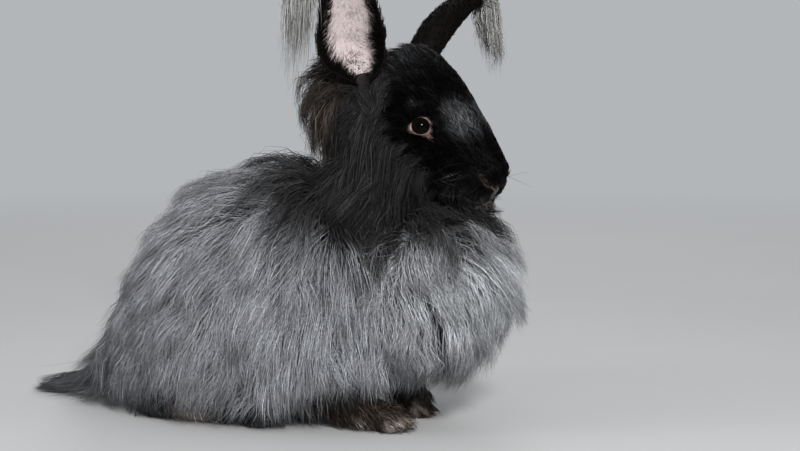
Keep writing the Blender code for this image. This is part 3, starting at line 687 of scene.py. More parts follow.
def markings(place, weights, lines):
    """The colours of the coat and of the skin under it, by rule."""
    trunk, neck, chest, tail, head, foot = weights
    local = in_head(place)
    ahead, _, above = local.T
    cheek = head * cheek_share(local)
    x, y, z = place.T
    patch = noise(place, 0.03, 11)
    streak = noise(place * np.array((1, 1, 0.4)), 0.01, 12)
    flank = mix(FLANK_GREY, BACK_GREY, 0.6 * ease(z + 0.006 * patch, 0.125, 0.17))
    # Darker towards the rear: painted shade where the light falls off
    flank = mix(flank, RUMP_SHADE_GREY, 0.6 * ease(-x, 0.02, 0.1))
    flank = mix(flank, FOOT_BROWN, 0.9 * ease(x, 0.058, 0.078) * ease(-z, -0.062, -0.036))
    # Darker again low at the rear by the tail: painted shade
    flank = mix(flank, TAIL_GREY_AND_SHADE, 0.7 * ease(-x, 0.07, 0.12) * ease(-z, -0.11, -0.05))
    flank = flank * (1 + 0.16 * ease(x, 0.01, 0.06) * ease(-z, -0.125, -0.095))[:, None]
    # The bib darkens towards its bottom: painted shade
    bib = mix(BIB_SILVER, BIB_SHADE, ease(-z, -0.105, -0.05))
    nape, crown = nape_and_crown(local)
    curtain = bell(ahead - 0.02, 0.014) * ease(above, -0.03, 0.0)
    chin = np.linalg.norm((local - (0.096, 0, -0.05)) / (0.016, 0.014, 0.01), axis=1)
    brown_chin = 0.8 * (1 - ease(chin, 0.5, 1.3))
    ruff = mix(MANE_BLACK, RUFF_GREY, 0.35 + 0.35 * streak)
    ruff = mix(ruff, NAPE_BROWN, 0.75 * nape * (0.5 + 0.5 * patch))
    ruff = mix(mix(ruff, RUFF_GREY, 0.8 * curtain), CHIN_BROWN, brown_chin)
    # Each side of the nose bridge gets pale grey hair as a painted highlight of the light
    from_bridge_sheen = local * (1, 0, 1) + np.abs(local) * (0, 1, 0) - (0.077, 0.009, 0.01)
    bridge_sheen = np.linalg.norm(from_bridge_sheen / (0.017, 0.011, 0.012), axis=1)
    brow = local - (0.052, 0, 0.0085)
    brow[:, 1] = np.abs(local[:, 1]) - 0.031
    cleft, nostril, mouth = face_lines(place, lines)
    black = FACE_BLACK
    for tone, share in (
        (GRIZZLE_AND_SHEEN_GREY, 0.8 * (1 - ease(bridge_sheen, 0.3, 1.35))),
        (GRIZZLE_AND_SHEEN_GREY, 0.22 * crown),
        (GRIZZLE_AND_SHEEN_GREY, 0.45 * (1 - ease(np.linalg.norm(brow, axis=1), 0.001, 0.005))),
        (RUFF_GREY, 0.9 * ease(ahead, 0.085, 0.108) * ease(-above, 0.016, 0.028)),
        (CHIN_BROWN, brown_chin),
        (LIP_GREY, 0.75 * (1 - ease(mouth, 0.0009, 0.0023))),
        (LIP_GREY, 0.95 * (1 - ease(cleft, 0.0008, 0.0021))),
        (NOSE_PINK, 0.95 * (1 - ease(nostril, 0.0007, 0.0017))),
        (LIP_GREY, 0.95 * (1 - ease(cleft + nostril, 0.001, 0.0034))),
    ):
        black = mix(black, tone, share)
    sock = mix(FOOT_BROWN, TOE_CREAM, 0.4 * ease(noise(place, 0.012, 5), 0.2, 0.8) * ease(-z, -0.016, -0.006))
    toe_patch = bell(x - 0.107, 0.006) + 0.4 * bell(x - 0.08, 0.007)
    sock = mix(sock, TOE_CREAM, 0.55 * toe_patch * ease(-y, 0.0, 0.022) * ease(-z, -0.013, -0.006))
    hind = ease(-x, -0.045, -0.03)
    sock = mix(mix(sock, TAIL_GREY_AND_SHADE, hind), 1.3 * TOE_CREAM, hind * bell(x + 0.036, 0.012))
    tail_tone = mix(TAIL_GREY_AND_SHADE, FLANK_GREY, 0.25 + 0.3 * streak)
    tones = (flank, ruff, bib, tail_tone, ruff, black, sock)
    shares = (trunk, neck, chest, tail, cheek, head - cheek, foot)
    return sum(share[:, None] * tone for share, tone in zip(shares, tones))


DOWN = np.array((0.0, 0.0, -1.0))
PIECE_FACES = 190e3
PATCH = 0.003


def strand_paths(root, normal, lie, length, lift, droop, steps):
    """Paths that leave the skin at their lift, lean to the lie and then droop."""
    flat = lie - normal * np.sum(lie * normal, axis=1, keepdims=True)
    flat = unit(flat + 1e-6)
    point = root - normal * np.minimum(0.0012, 0.05 * length)[:, None]
    path = [point]
    for i in range(steps):
        share = i / (steps - 1)
        up = (lift * (1 - share) ** 0.85)[:, None]
        heading = flat * np.cos(up) + normal * np.sin(up)
        pull = (droop * share)[:, None]
        heading = unit(heading * (1 - pull) + DOWN * pull)
        point = point + heading * (length / steps)[:, None]
        path.append(point)
    return np.stack(path, axis=1)


def trim_to_hem(path, hem):
    """Shortens strands that hang below their hem, and lays the rest of them on the floor."""
    root = path[:, :1]
    drop = np.maximum(root[:, 0, 2] - path[:, -1, 2], 1e-6)
    keep = np.clip((root[:, 0, 2] - hem) / drop, 0.25, 1.0)
    path = root + (path - root) * keep[:, None, None]
    path[:, :, 2] = np.maximum(path[:, :, 2], FLOOR_CLEAR)
    return path


def sweep_to_tail(path):
    """Bends the low hair of the rump back to the tail, and keeps every strand short of its tip."""
    rear = ease(-path[:, :1, 0], 0.08, 0.112) * ease(-np.abs(path[:, :1, 1]), -0.052, -0.018)
    low = ease(-path[:, :, 2], -0.062, -0.006)
    along = np.linspace(0, 1, path.shape[1])[None, :]
    path = path.copy()
    path[:, :, 0] -= 0.036 * rear * low * along**1.5
    root = path[:, :1]
    reach = np.maximum(root[:, 0, 0] - path[:, :, 0].min(axis=1), 1e-6)
    keep = np.clip((root[:, 0, 0] + TAIL_REACH) / reach, 0.25, 1.0)
    return root + (path - root) * keep[:, None, None]


def add_waves(path, amount, turns, rng):
    """Bends each path in a slow wave that grows towards its tip."""
    count, steps = path.shape[:2]
    along = unit(path[:, -1] - path[:, 0])
    aside = unit(np.cross(along, rng.normal(size=(count, 3))))
    t = np.linspace(0, 1, steps)[None, :]
    phase = rng.uniform(0, 2 * math.pi, count)[:, None]
    wave = (np.sin(2 * math.pi * turns[:, None] * t + phase) - np.sin(phase)) * t**0.7 * amount[:, None]
    return path + aside[:, None, :] * wave[:, :, None]


def even_roots(points, order, spacing):
    """A spread-out choice of the given points, at least spacing apart."""
    cell, chosen = {}, []
    steps = [(dx, dy, dz) for dx in (-1, 0, 1) for dy in (-1, 0, 1) for dz in (-1, 0, 1)]
    for i in order:
        p = points[i]
        a, b, c = np.floor(p / spacing).astype(int).tolist()
        near = (j for dx, dy, dz in steps for j in cell.get((a + dx, b + dy, c + dz), ()))
        if all(np.sum((points[j] - p) ** 2) >= spacing**2 for j in near):
            cell.setdefault((a, b, c), []).append(i)
            chosen.append(i)
    return np.array(chosen)


def gather(path, roots, guides, guide_roots, clump, follow):
    """Draws each path towards the nearest guide, more so towards its tip."""
    tree = KDTree(len(guide_roots))
    for i, p in enumerate(guide_roots):
        tree.insert(p, i)
    tree.balance()
    nearest = np.array([tree.find(p)[1] for p in roots])
    t = np.linspace(0, 1, path.shape[1])[None, :, None]
    offset = (path[:, 0] - guides[nearest, 0])[:, None, :]
    led = guides[nearest] + offset * (1 - clump[:, None, None] * t**1.1)
    share = follow[:, None, None] * np.minimum(t * 2.2, 1.0)
    return path * (1 - share) + led * share, nearest


def array_object(name, points, index, uv, tone, sides=3):
    """A mesh object from arrays, moved to the frame of the solids."""
    mesh = bpy.data.meshes.new(name)
    count = len(index) // sides
    mesh.vertices.add(len(points))
    mesh.vertices.foreach_set("co", (points + MIDDLE).ravel())
    mesh.loops.add(len(index))
    mesh.loops.foreach_set("vertex_index", index.astype(np.int32))
    mesh.polygons.add(count)
    mesh.polygons.foreach_set("loop_start", np.arange(0, len(index), sides, dtype=np.int32))
    mesh.polygons.foreach_set("use_smooth", np.ones(count, bool))
    mesh.update(calc_edges=True)
    mesh.uv_layers.new(name="OFBake").data.foreach_set("uv", uv.ravel())
    paint = mesh.color_attributes.new("tone", "FLOAT_COLOR", "POINT")
    paint.data.foreach_set("color", np.concatenate([tone, np.ones((len(tone), 1))], axis=1).ravel())
    mesh.validate()
    return placed(name, mesh)


def strand_mesh(name, path, half, tones, patches, taper=1.6):
    """A mesh of closed three-sided strands, with their tone and a bake patch at each root."""
    count, rows = path.shape[:2]
    along = unit(np.gradient(path, axis=1))
    side = unit(np.cross(along, np.random.default_rng(3).normal(size=(count, 1, 3)) + 0 * along))
    over = np.cross(side, along)
    share = np.linspace(0, 1, rows)
    swell = np.minimum(0.75 + 0.8 * share, 1.0) * (1 - share**taper) + 0.02
    radius = half[:, None] * swell[None, :]
    rings = rows - 1
    corners = []
    for k in range(3):
        angle = 2 * math.pi * k / 3
        out = side[:, :rings] * math.cos(angle) + over[:, :rings] * math.sin(angle)
        corners.append(path[:, :rings] + radius[:, :rings, None] * out)
    points = np.concatenate([np.stack(corners, axis=2).reshape(count, rings * 3, 3), path[:, -1:]], axis=1)
    each = rings * 3 + 1
    faces, places = [(2, 1, 0)], [((0, 0), (1, 0), (2, 0))]
    for i in range(rings - 1):
        for k in range(3):
            n = (k + 1) % 3
            a, b, c, d = i * 3 + k, i * 3 + n, (i + 1) * 3 + n, (i + 1) * 3 + k
            faces += [(a, b, c), (a, c, d)]
            places += [((k, i), (k + 1, i), (k + 1, i + 1)), ((k, i), (k + 1, i + 1), (k, i + 1))]
    for k in range(3):
        faces.append(((rings - 1) * 3 + k, (rings - 1) * 3 + (k + 1) % 3, each - 1))
        places.append(((k, rings - 1), (k + 1, rings - 1), (k + 0.5, rings)))
    faces, places = np.array(faces), np.array(places, float) / np.array((3.0, rings))
    index = (faces[None] + (np.arange(count) * each)[:, None, None]).reshape(-1)
    uv = (patches[:, None, None, :] + places[None] * PATCH).reshape(-1, 2)
    # Darker at the root as painted shade deep in the coat, and broken along its length as crimped wool is
    row_of = np.append(np.repeat(np.arange(rings), 3), rings) / rings
    broken = np.random.default_rng(5).normal(1.0, 0.26, (count, rows))[:, (row_of * rings + 0.5).astype(int)]
    level = (0.6 + 0.46 * np.minimum(row_of * 1.6, 1.0))[None, :] * np.clip(broken, 0.5, 1.6)
    tone = tones[:, None, :] * level[..., None]
    return array_object(name, points.reshape(-1, 3), index, uv, tone.reshape(-1, 3))


# The parts of the bake map, the part of each region, and the corner that each part is measured from
TRUNK_MAP, HEAD_MAP, FOOT_MAP, EAR_MAP = range(4)
PART_OF = np.array((TRUNK_MAP, TRUNK_MAP, TRUNK_MAP, TRUNK_MAP, HEAD_MAP, FOOT_MAP))
PART_CORNER = tenths((-1650, -1150, -20), (300, -750, 1350), (-1000, -700, -30), (200, -750, 2000))
# The trunk's six sides have a big tile each, and those of the other parts a small one
BIG_WIDE, BIG_HIGH, BIG_EDGE = 0.333, 0.25, 0.004
SMALL_TILE, SMALL_EDGE, SMALL_FIRST = 0.1666, 0.003, 0.5


def bake_places(points, normals, part):
    """Where points lie on a six-sided unwrap of the skin, one metre to the width of the map."""
    part = np.broadcast_to(part, len(points))
    axis = np.abs(normals).argmax(axis=1)
    sign = (np.take_along_axis(normals, axis[:, None], 1)[:, 0] > 0).astype(int)
    side = axis * 2 + sign
    rows = np.arange(len(points))
    offset = points - PART_CORNER[part]
    first, second = np.array((1, 0, 0))[axis], np.array((2, 2, 1))[axis]
    flat = np.stack([offset[rows, first], offset[rows, second]], axis=1)
    big = np.stack([(side % 3) * BIG_WIDE + BIG_EDGE, (side // 3) * BIG_HIGH + BIG_EDGE], axis=1)
    row = SMALL_FIRST + (part - 1) * SMALL_TILE + SMALL_EDGE
    small = np.stack([side * SMALL_TILE + SMALL_EDGE, row], axis=1)
    return np.where((part == TRUNK_MAP)[:, None], big, small) + flat


def ear_skin(outer, inner):
    """One closed sheet from the two sides of an ear: points, quads, and a share that is 1 inside the cup."""
    rings, across = outer.shape[:2]
    around = 2 * across
    points = np.concatenate([outer, inner[:, ::-1]], axis=1).reshape(-1, 3)
    quads = ring_quads(rings, around)
    top = (rings - 1) * around
    for k in range(across - 1):
        quads.append((top + k, top + k + 1, top + around - 2 - k, top + around - 1 - k))
        quads.append((around - 1 - k, around - 2 - k, k + 1, k))
    inside = np.concatenate([np.zeros(across), 1 - np.abs(np.linspace(-1, 1, across)[::-1]) ** 3])
    return points, np.array(quads), np.tile(inside, rings)


def ear_tones(points, inside, along):
    """Pale pink inside the cup, dark towards its rims, its foot and its tip."""
    pale = mix(EAR_PINK, EAR_RIM, 0.25 * ease(noise(points, 0.008, 31), 0.1, 0.9))
    foot = 1.0 - ease(along, 0.1, 0.42)
    shade = ease(inside, 0.45 + 0.42 * foot, 0.85 + 0.12 * foot)
    return mix(EAR_RIM, pale, shade * (1 - 0.5 * ease(along, 0.75, 1.0)))


def node(tree, kind, settings=None, links=None):
    """Adds a shader node with its settings and the sockets that feed it."""
    made = tree.nodes.new("ShaderNode" + kind)
    for name, value in (settings or {}).items():
        if name in made.inputs:
            made.inputs[name].default_value = value
        else:
            setattr(made, name, value)
    for name, source in (links or {}).items():
        tree.links.new(source, made.inputs[name])
    return made


def finish(name, build, **settings):
    """A Principled material whose colour and bump come from build."""
    made = bpy.data.materials.new(name)
    made.use_nodes = True
    shader = made.node_tree.nodes["Principled BSDF"]
    for key, value in settings.items():
        shader.inputs[key.replace("_", " ")].default_value = value
    build(made.node_tree, shader)
    return made


def scaled_tone(tree, shader, level):
    """Colour from the tone layer, scaled by another socket."""
    tone = node(tree, "VertexColor", {"layer_name": "tone"}).outputs["Color"]
    tinted = node(tree, "VectorMath", {"operation": "SCALE"}, {0: tone, "Scale": level})
    tree.links.new(tinted.outputs["Vector"], shader.inputs["Base Color"])


def fibre_shading(size, depth):
    """Colour from the tone layer, broken by fine streaks about size metres long."""

    def build(tree, shader):
        where = node(tree, "TexCoord").outputs["Object"]
        fine = {"Scale": 1.0 / size, "Detail": 3.0, "Roughness": 0.6}
        grain = node(tree, "TexNoise", fine, {"Vector": where}).outputs["Fac"]
        span = {"From Min": 0.3, "From Max": 0.7, "To Min": 1.0 - depth, "To Max": 1.0 + depth}
        scaled_tone(tree, shader, node(tree, "MapRange", span, {"Value": grain}).outputs["Result"])
        bump = node(tree, "Bump", {"Strength": 0.35, "Distance": size * 0.25}, {"Height": grain})
        tree.links.new(bump.outputs["Normal"], shader.inputs["Normal"])

    return build


IRIS_FIBRES = 900.0


def eye_colour(tree, shader):
    """Colour from the tone layer, broken by the fine fibres of the iris."""
    where = node(tree, "TexCoord").outputs["Object"]
    fibres = node(tree, "TexNoise", {"Scale": IRIS_FIBRES, "Detail": 2.0}, {"Vector": where})
    scaled_tone(tree, shader, fibres.outputs["Fac"])


def keratin(tree, shader):
    """Plain colour from the tone layer."""
    tone = node(tree, "VertexColor", {"layer_name": "tone"})
    tree.links.new(tone.outputs["Color"], shader.inputs["Base Color"])


# Angora wool: fine keratin fibres, combed and clumped. A soft spread highlight and a pale edge, no gloss.
# Its fibres are 0.015 mm thick, too fine to show, so their lights are drawn 1.6 mm long.
soft_edge = {"Sheen_Weight": 0.03, "Sheen_Roughness": 0.5}
wool_look = {"Roughness": 0.6, "IOR": 1.55, "Specular_IOR_Level": 0.12, **soft_edge}
angora_wool = finish("angora_wool", fibre_shading(0.0016, 0.42), **wool_look)
# Guard hair of the face: short, straight and oiled, so black with narrow lights.
# It is 0.05 mm thick, too fine to show, so its lights are drawn 1.4 mm long.
hair_look = {"Roughness": 0.42, "IOR": 1.55, "Specular_IOR_Level": 0.02}
guard_hair = finish("guard_hair", fibre_shading(0.0014, 0.3), **hair_look)
# Skin under the coat: matt, pored, seen only at the ears, nose and partings.
# Its pores are 0.1 mm across, too fine to show, so their mottling is drawn 1.6 mm across.
skin_look = {"Roughness": 0.6, "IOR": 1.4, "Specular_IOR_Level": 0.05}
deep_glow = {"Subsurface_Weight": 0.04, "Subsurface_Scale": 0.004}
rabbit_skin = finish("rabbit_skin", fibre_shading(0.0016, 0.15), **skin_look, **deep_glow)
# The wet cornea over a dark brown iris: a sharp small light on near black.
# The fibres of the iris are 0.05 mm thick, and are drawn 1.1 mm across.
wet_cornea = finish("wet_cornea", eye_colour, Roughness=0.11, IOR=1.376, Specular_IOR_Level=0.09)
# Lid skin: hairless, damp and pinkish tan, with a soft gloss at its edge.
# Its creases are 0.1 mm across, too fine to show, and are drawn 1.1 mm across.
lid_look = {"Roughness": 0.42, "IOR": 1.4, "Specular_IOR_Level": 0.3}
lid_skin = finish("lid_skin", fibre_shading(0.0011, 0.12), **lid_look)
# Claw and whisker keratin: horn, polished by the ground, darker at the root with painted shade.
claw_horn = finish("claw_horn", keratin, Roughness=0.35, IOR=1.55, Specular_IOR_Level=0.5)


def hand_over(piece, material, slot, *nodes):
    """Gives a piece its material and body, and hides the parts of the solids that it replaces. The slot is
    not used.
    """
    piece.data.materials.append(material)
    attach(piece, "root")
    if nodes:
        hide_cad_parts(*nodes)


def quad_bake(points, quads, face_normals, part):
    """The bake place of each corner of the quads."""
    return bake_places(points[quads].reshape(-1, 3), np.repeat(face_normals, 4, axis=0), np.repeat(part, 4))


# The animal's frame stands MIDDLE away from the frame of the solids
low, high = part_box("eye_right")
MIDDLE = (np.array(low) + np.array(high)) / 2 - eye_centre(-1)

skin, quads, weights = wrapped_skin()
pairs = edge_pairs(quads)
skin_normals, _ = normals_of(skin, quads)
wrap_tree = tree_of(skin, quads)
face_marks = [
    np.array([tuple(wrap_tree.find_nearest(Vector(p))[0]) for p in on_head(smooth_rows(line, 40))])
    for line in FACE_LINES
]
skin = hollow_for_eyes(hollow_before_ears(carve_face(skin, skin_normals, face_marks)))
skin_normals, face_normals = normals_of(skin, quads)
part_of_point = PART_OF[weights.argmax(axis=0)]
weights = spread(weights, pairs, REGION_BLEND)
weights = weights / weights.sum(axis=0)
lie, sizes = coat_at(skin, weights, face_marks)
lie = unit(spread(lie.T.copy(), pairs, LIE_BLEND).T)
sizes = spread(sizes, pairs, SIZE_BLEND)
tone = markings(skin, weights, face_marks)

# One skin with both ears: points, quads, bake places, tones
ears = {}
spots = quad_bake(skin, quads, face_normals, part_of_point[quads[:, 0]])
# The skin under the coat is darkened: painted shade in the gaps between hairs
hide_parts = [(skin, quads, spots, tone * UNDER_COAT_SHADE)]
for name, ear in EARS.items():
    outer, inner, path, _ = ear_sheets(*ear)
    points, ear_quads, inside = ear_skin(outer, inner)
    spots = quad_bake(points, ear_quads, normals_of(points, ear_quads)[1], np.full(len(ear_quads), EAR_MAP))
    along = np.repeat(np.linspace(0, 1, outer.shape[0]), 2 * outer.shape[1])
    start = sum(len(part[0]) for part in hide_parts)
    hide_parts.append((points, ear_quads + start, spots, ear_tones(points, inside, along)))
    ears[name] = (outer, inner, path)
points, hide_quads, spots, tones = (np.concatenate(rows) for rows in zip(*hide_parts))
hide = array_object("rabbit_skin", points, hide_quads.ravel(), spots, tones, sides=4)
FEET = ("foreleg_right", "foreleg_left", "hindleg_right", "hindleg_left")
FLESH = ("torso", "neck", "chest", "tail", "head", "ear_right", "ear_left", *FEET)
hand_over(hide, rabbit_skin, "flank_wool", *FLESH)


def roots_over(share, rng):
    """Roots spread over the skin in proportion to density, with everything read at each root."""
    tri = np.concatenate([quads[:, [0, 1, 2]], quads[:, [0, 2, 3]]])
    a, b, c = (skin[tri[:, i]] for i in range(3))
    area = np.linalg.norm(np.cross(b - a, c - a), axis=1) / 2
    density = sizes[6][tri].mean(axis=1) * share[tri].mean(axis=1)
    count = int((area * density).sum())
    pick = np.sort(rng.choice(len(tri), count, p=area * density / (area * density).sum()))
    u, v = np.sort(rng.random((2, count)), axis=0)
    shares = np.stack([u, v - u, 1 - v], axis=1)

    def read(values):
        return np.einsum("ij,ijk->ik", shares, values[tri[pick]])

    root, normal = read(skin), unit(read(skin_normals))
    face = np.concatenate([face_normals, face_normals])[pick]
    part = part_of_point[tri[pick, 0]]
    return root, normal, unit(read(lie)), read(sizes.T).T, read(tone), bake_places(root, face, part)


def flank_hem(points):
    """The flank hangs to the floor, but is short over the forefeet."""
    return 0.001 + 0.022 * ease(points[:, 0], 0.024, 0.066) + 0.016 * bell(points[:, 0] + 0.022, 0.02)


def bib_hem(points):
    """The bib ends above the forefeet, higher at its rear."""
    return 0.03 + 0.02 * ease(0.116 - points[:, 0], 0.0, 0.02)


def ruff_hem(points):
    """The ruff and the mane end at the level of the shoulders."""
    return RUFF_HEM - 0.006 + 0 * points[:, 0]


def no_hem(points):
    """Hair that may reach the floor."""
    return 0.001 + 0 * points[:, 0]


def swung(lies, normals, angles):
    """Lies turned about their normals."""
    return lies * np.cos(angles)[:, None] + np.cross(normals, lies) * np.sin(angles)[:, None]


def grow_coat(
    name, share, slot, material, nodes, steps, spacing, hem_of, black_share, seed,
    painted_glints=0.0, ragged=0.0, loose=1.0,
):
    """Grows one region's coat, in clumps round guides, and hands it over in pieces."""
    rng = np.random.default_rng(seed)
    roots, normals, lies, size, tones, patches = roots_over(share, rng)
    count = len(roots)
    length, lift, droop, curl, clump, half, _ = size
    longer = rng.uniform(0.78, 1.1, count)
    flyaway = rng.random(count) < FLYAWAY_SHARE
    swing = rng.normal(0, 0.32 * loose, count)
    lies = unit(swung(lies, normals, swing))
    raised = np.radians(lift) * rng.uniform(0.8, 1.2, count)
    path = strand_paths(roots, normals, lies, length * longer, raised, droop, steps)
    chosen = even_roots(roots, rng.permutation(count), spacing)
    turn = rng.normal(0, 0.26 * loose, len(chosen))
    guide_lie = swung(lies[chosen], normals[chosen], turn)
    guide_length = length[chosen] * rng.uniform(0.88, 1.12, len(chosen))
    guide_lift = np.radians(lift[chosen]) * rng.uniform(0.75, 1.2, len(chosen))
    guide_roots, guide_normals = roots[chosen], normals[chosen]
    guides = strand_paths(
        guide_roots, guide_normals, unit(guide_lie), guide_length, guide_lift, droop[chosen], steps
    )
    guide_curl = curl[chosen] * rng.uniform(0.4, 1.5, len(chosen))
    guides = add_waves(guides, guide_curl, rng.uniform(0.6, 1.3, len(chosen)), rng)
    follow = np.where(flyaway, 0.1, rng.uniform(0.45, 0.85, count))
    path, nearest = gather(path, roots, guides, roots[chosen], clump * rng.uniform(0.7, 1.1, count), follow)
    path = add_waves(path, curl * 0.5 * rng.uniform(0.3, 1.8, count), rng.uniform(0.8, 2.2, count), rng)
    path = trim_to_hem(path, hem_of(roots) + rng.normal(0, 0.004, count) + ragged * noise(roots, 0.018, 41))
    path = sweep_to_tail(path)
    black = mantle_share(path[:, path.shape[1] // 2]) * black_share
    mantle = MANE_BLACK + (RUFF_GREY - MANE_BLACK) * 1.7 * rng.random((count, 1)) ** 2
    tones = tones * (1 - black[:, None]) + mantle * black[:, None]
    lock_tone = rng.normal(0, LOCK_STRAY, len(chosen))
    pale = 0.6 * (rng.random(count) < PALE_SHARE) * rng.random(count)
    level = 1 + lock_tone[nearest] + rng.normal(0, STRAND_STRAY, count) + pale
    # Some strands are painted brighter as glints of light, and the rest a little darker
    level = level + painted_glints * (rng.random(count) < GLINT_SHARE) * rng.random(count) - 0.22 * painted_glints
    tones = tones * np.clip(level, 0.25, 3.6)[:, None]
    half = half * rng.uniform(0.75, 1.15, count) * np.where(flyaway, 0.6, 1.0)
    order = np.argsort(roots[:, 0] + 0.2 * roots[:, 1])
    batches = max(1, math.ceil(count * (4 + 6 * (steps - 1)) / PIECE_FACES))
    for i, batch in enumerate(np.array_split(order, batches)):
        piece = strand_mesh(f"{name}_{i + 1}", path[batch], half[batch], tones[batch], patches[batch])
        hand_over(piece, material, slot, *nodes)


trunks, necks, chests, tails, heads, feet = weights
cheeks = cheek_share(in_head(skin))
bare_places = clear_of_eyes(skin) * ease(away_from_ears(skin), -0.0035, -0.001)
short = heads * (1 - cheeks) * bare_places
long = heads * cheeks * bare_places
wool, fur = angora_wool, guard_hair
grow_coat("flank_wool", trunks, "flank_wool", wool, ("torso",), 4, 0.01, flank_hem, 1.0, 1, 0.0, 0.005)
grow_coat("mane", necks, "mane_wool", wool, ("neck",), 4, 0.01, ruff_hem, 1.0, 2, 1.6, 0.01)
grow_coat("bib_wool", chests, "bib_wool", wool, ("chest",), 4, 0.0115, bib_hem, 1.0, 3, 0.0, 0.01)
grow_coat("tail_wool", tails, "mane_wool", wool, ("tail",), 4, 0.008, no_hem, 0.0, 4, 0.0, 0.0, 0.4)
grow_coat("ruff", long, "mane_wool", wool, ("head",), 4, 0.0085, ruff_hem, 0.0, 5, 2.4, 0.006)
grow_coat("face_fur", short, "face_fur", fur, ("head",), 2, 0.004, no_hem, 0.0, 6, 3.0)
grow_coat("foot_fur", feet, "foot_fur", fur, FEET, 3, 0.005, no_hem, 0.0, 7, 2.4)


def sheet_roots(grid, turn_low, turn_high, ring_low, ring_high, count, rng):
    """Random places on one sheet of an ear: points, directions up and across, turn and height as shares."""
    rings, across = grid.shape[:2]
    ring = rng.uniform(ring_low, ring_high, count) * (rings - 1.001)
    turn = rng.uniform(turn_low, turn_high, count) * np.where(rng.random(count) < 0.5, -1, 1)
    column = (turn + 1) / 2 * (across - 1.001)
    i, j = ring.astype(int), column.astype(int)
    fi, fj = (ring - i)[:, None], (column - j)[:, None]
    point = grid[i, j] * (1 - fi) * (1 - fj) + grid[i + 1, j] * fi * (1 - fj)
    point = point + grid[i, j + 1] * (1 - fi) * fj + grid[i + 1, j + 1] * fi * fj
    return point, unit(grid[i + 1, j] - grid[i, j]), unit(grid[i, j + 1] - grid[i, j]), turn, ring / rings


def ear_strands(name, kind, grid, sign, turns, rings, count, length, lift, lean, half, tone, rng):
    """One kind of short hair on one sheet of an ear."""
    path = ears[name][2]
    point, up, over, turn, ring = sheet_roots(grid, *turns, *rings, count, rng)
    index = np.clip((ring * len(path)).astype(int), 0, len(path) - 1)
    out = unit(point - path[index]) * sign
    heading = unit(up + over * (lean * -np.sign(turn))[:, None])
    reach = length * rng.uniform(0.6, 1.15, count)
    raised = np.radians(lift) * rng.uniform(0.6, 1.4, count)
    lines = strand_paths(point, out, heading, reach, raised, 0 * turn, 2)
    lines = add_waves(lines, 0.08 * reach, rng.uniform(0.4, 1.0, count), rng)
    shade = tone * rng.uniform(0.7, 1.3, count)[:, None]
    halves = half * rng.uniform(0.8, 1.2, count)
    piece = strand_mesh(f"{name}_{kind}", lines, halves, shade, bake_places(point, out, EAR_MAP))
    hand_over(piece, guard_hair, "face_fur", name)


def dress_ear(name, tassel_out, tassel_length, seed):
    """Velvet on the back of the ear, a dark fringe inside its rims and the tassel at its tip."""
    rng = np.random.default_rng(seed)
    outer, inner, path = ears[name]
    # kind, sheet, side, turns, heights, count, length, lift, lean, half thickness, tone
    for hair in (
        ("velvet", outer, 1, (0.0, 1.0), (0.0, 1.0), 3300, 0.006, 26, 0.2, 0.00026, EAR_RIM),
        ("rim_fringe", inner, -1, (0.6, 1.0), (0.02, 0.97), 2200, 0.0092, 30, 0.8, 0.0002, EAR_RIM),
        ("foot_fringe", inner, -1, (0.45, 1.0), (0.00, 0.26), 650, 0.008, 30, 0.9, 0.00018, EAR_RIM),
        ("inner_down", inner, -1, (0.0, 0.6), (0.12, 0.95), 750, 0.005, 22, 0.3, 0.00012, EAR_PINK * 0.9),
    ):
        ear_strands(name, *hair, rng)
    count, locks, steps = 1150, 14, 6
    point = sheet_roots(outer, 0.0, 1.0, 0.9, 0.995, count, rng)[0]
    groups = rng.integers(0, locks, count)
    fan = rng.normal(0, 0.13, (locks, 3))[groups] + rng.normal(0, 0.08, (count, 3))
    length = tassel_length * rng.uniform(0.66, 1.08, locks)[groups] * rng.uniform(0.55, 1.05, count)
    bend = rng.uniform(0.16, 0.3, locks)[groups]
    rise = unit(np.array(tassel_out) + fan)
    settle = DOWN + rise * (0.1, 0.1, 0.0)
    line = [point]
    for step in range(steps):
        fall = ease((step + 0.6) / steps / bend, 0.0, 1.0)[:, None]
        line.append(line[-1] + unit(rise * (1 - fall) + settle * fall) * (length / steps)[:, None])
    waves = 0.0026 * rng.uniform(0.2, 1.6, count)
    lines = add_waves(np.stack(line, axis=1), waves, rng.uniform(0.5, 1.6, count), rng)
    shade = TASSEL_GREY * (1 + rng.normal(0, 0.12, count) + rng.normal(0, 0.1, locks)[groups])[:, None]
    spots = bake_places(point, unit(point - path[-4]), EAR_MAP)
    piece = strand_mesh(f"{name}_tassel", lines, np.full(count, TASSEL_HAIR), shade, spots)
    hand_over(piece, angora_wool, "bib_wool", name)


dress_ear("ear_right", (-0.44, -0.26, 0.45), 0.096, 61)
dress_ear("ear_left", (0.55, 0.3, 0.1), 0.056, 62)


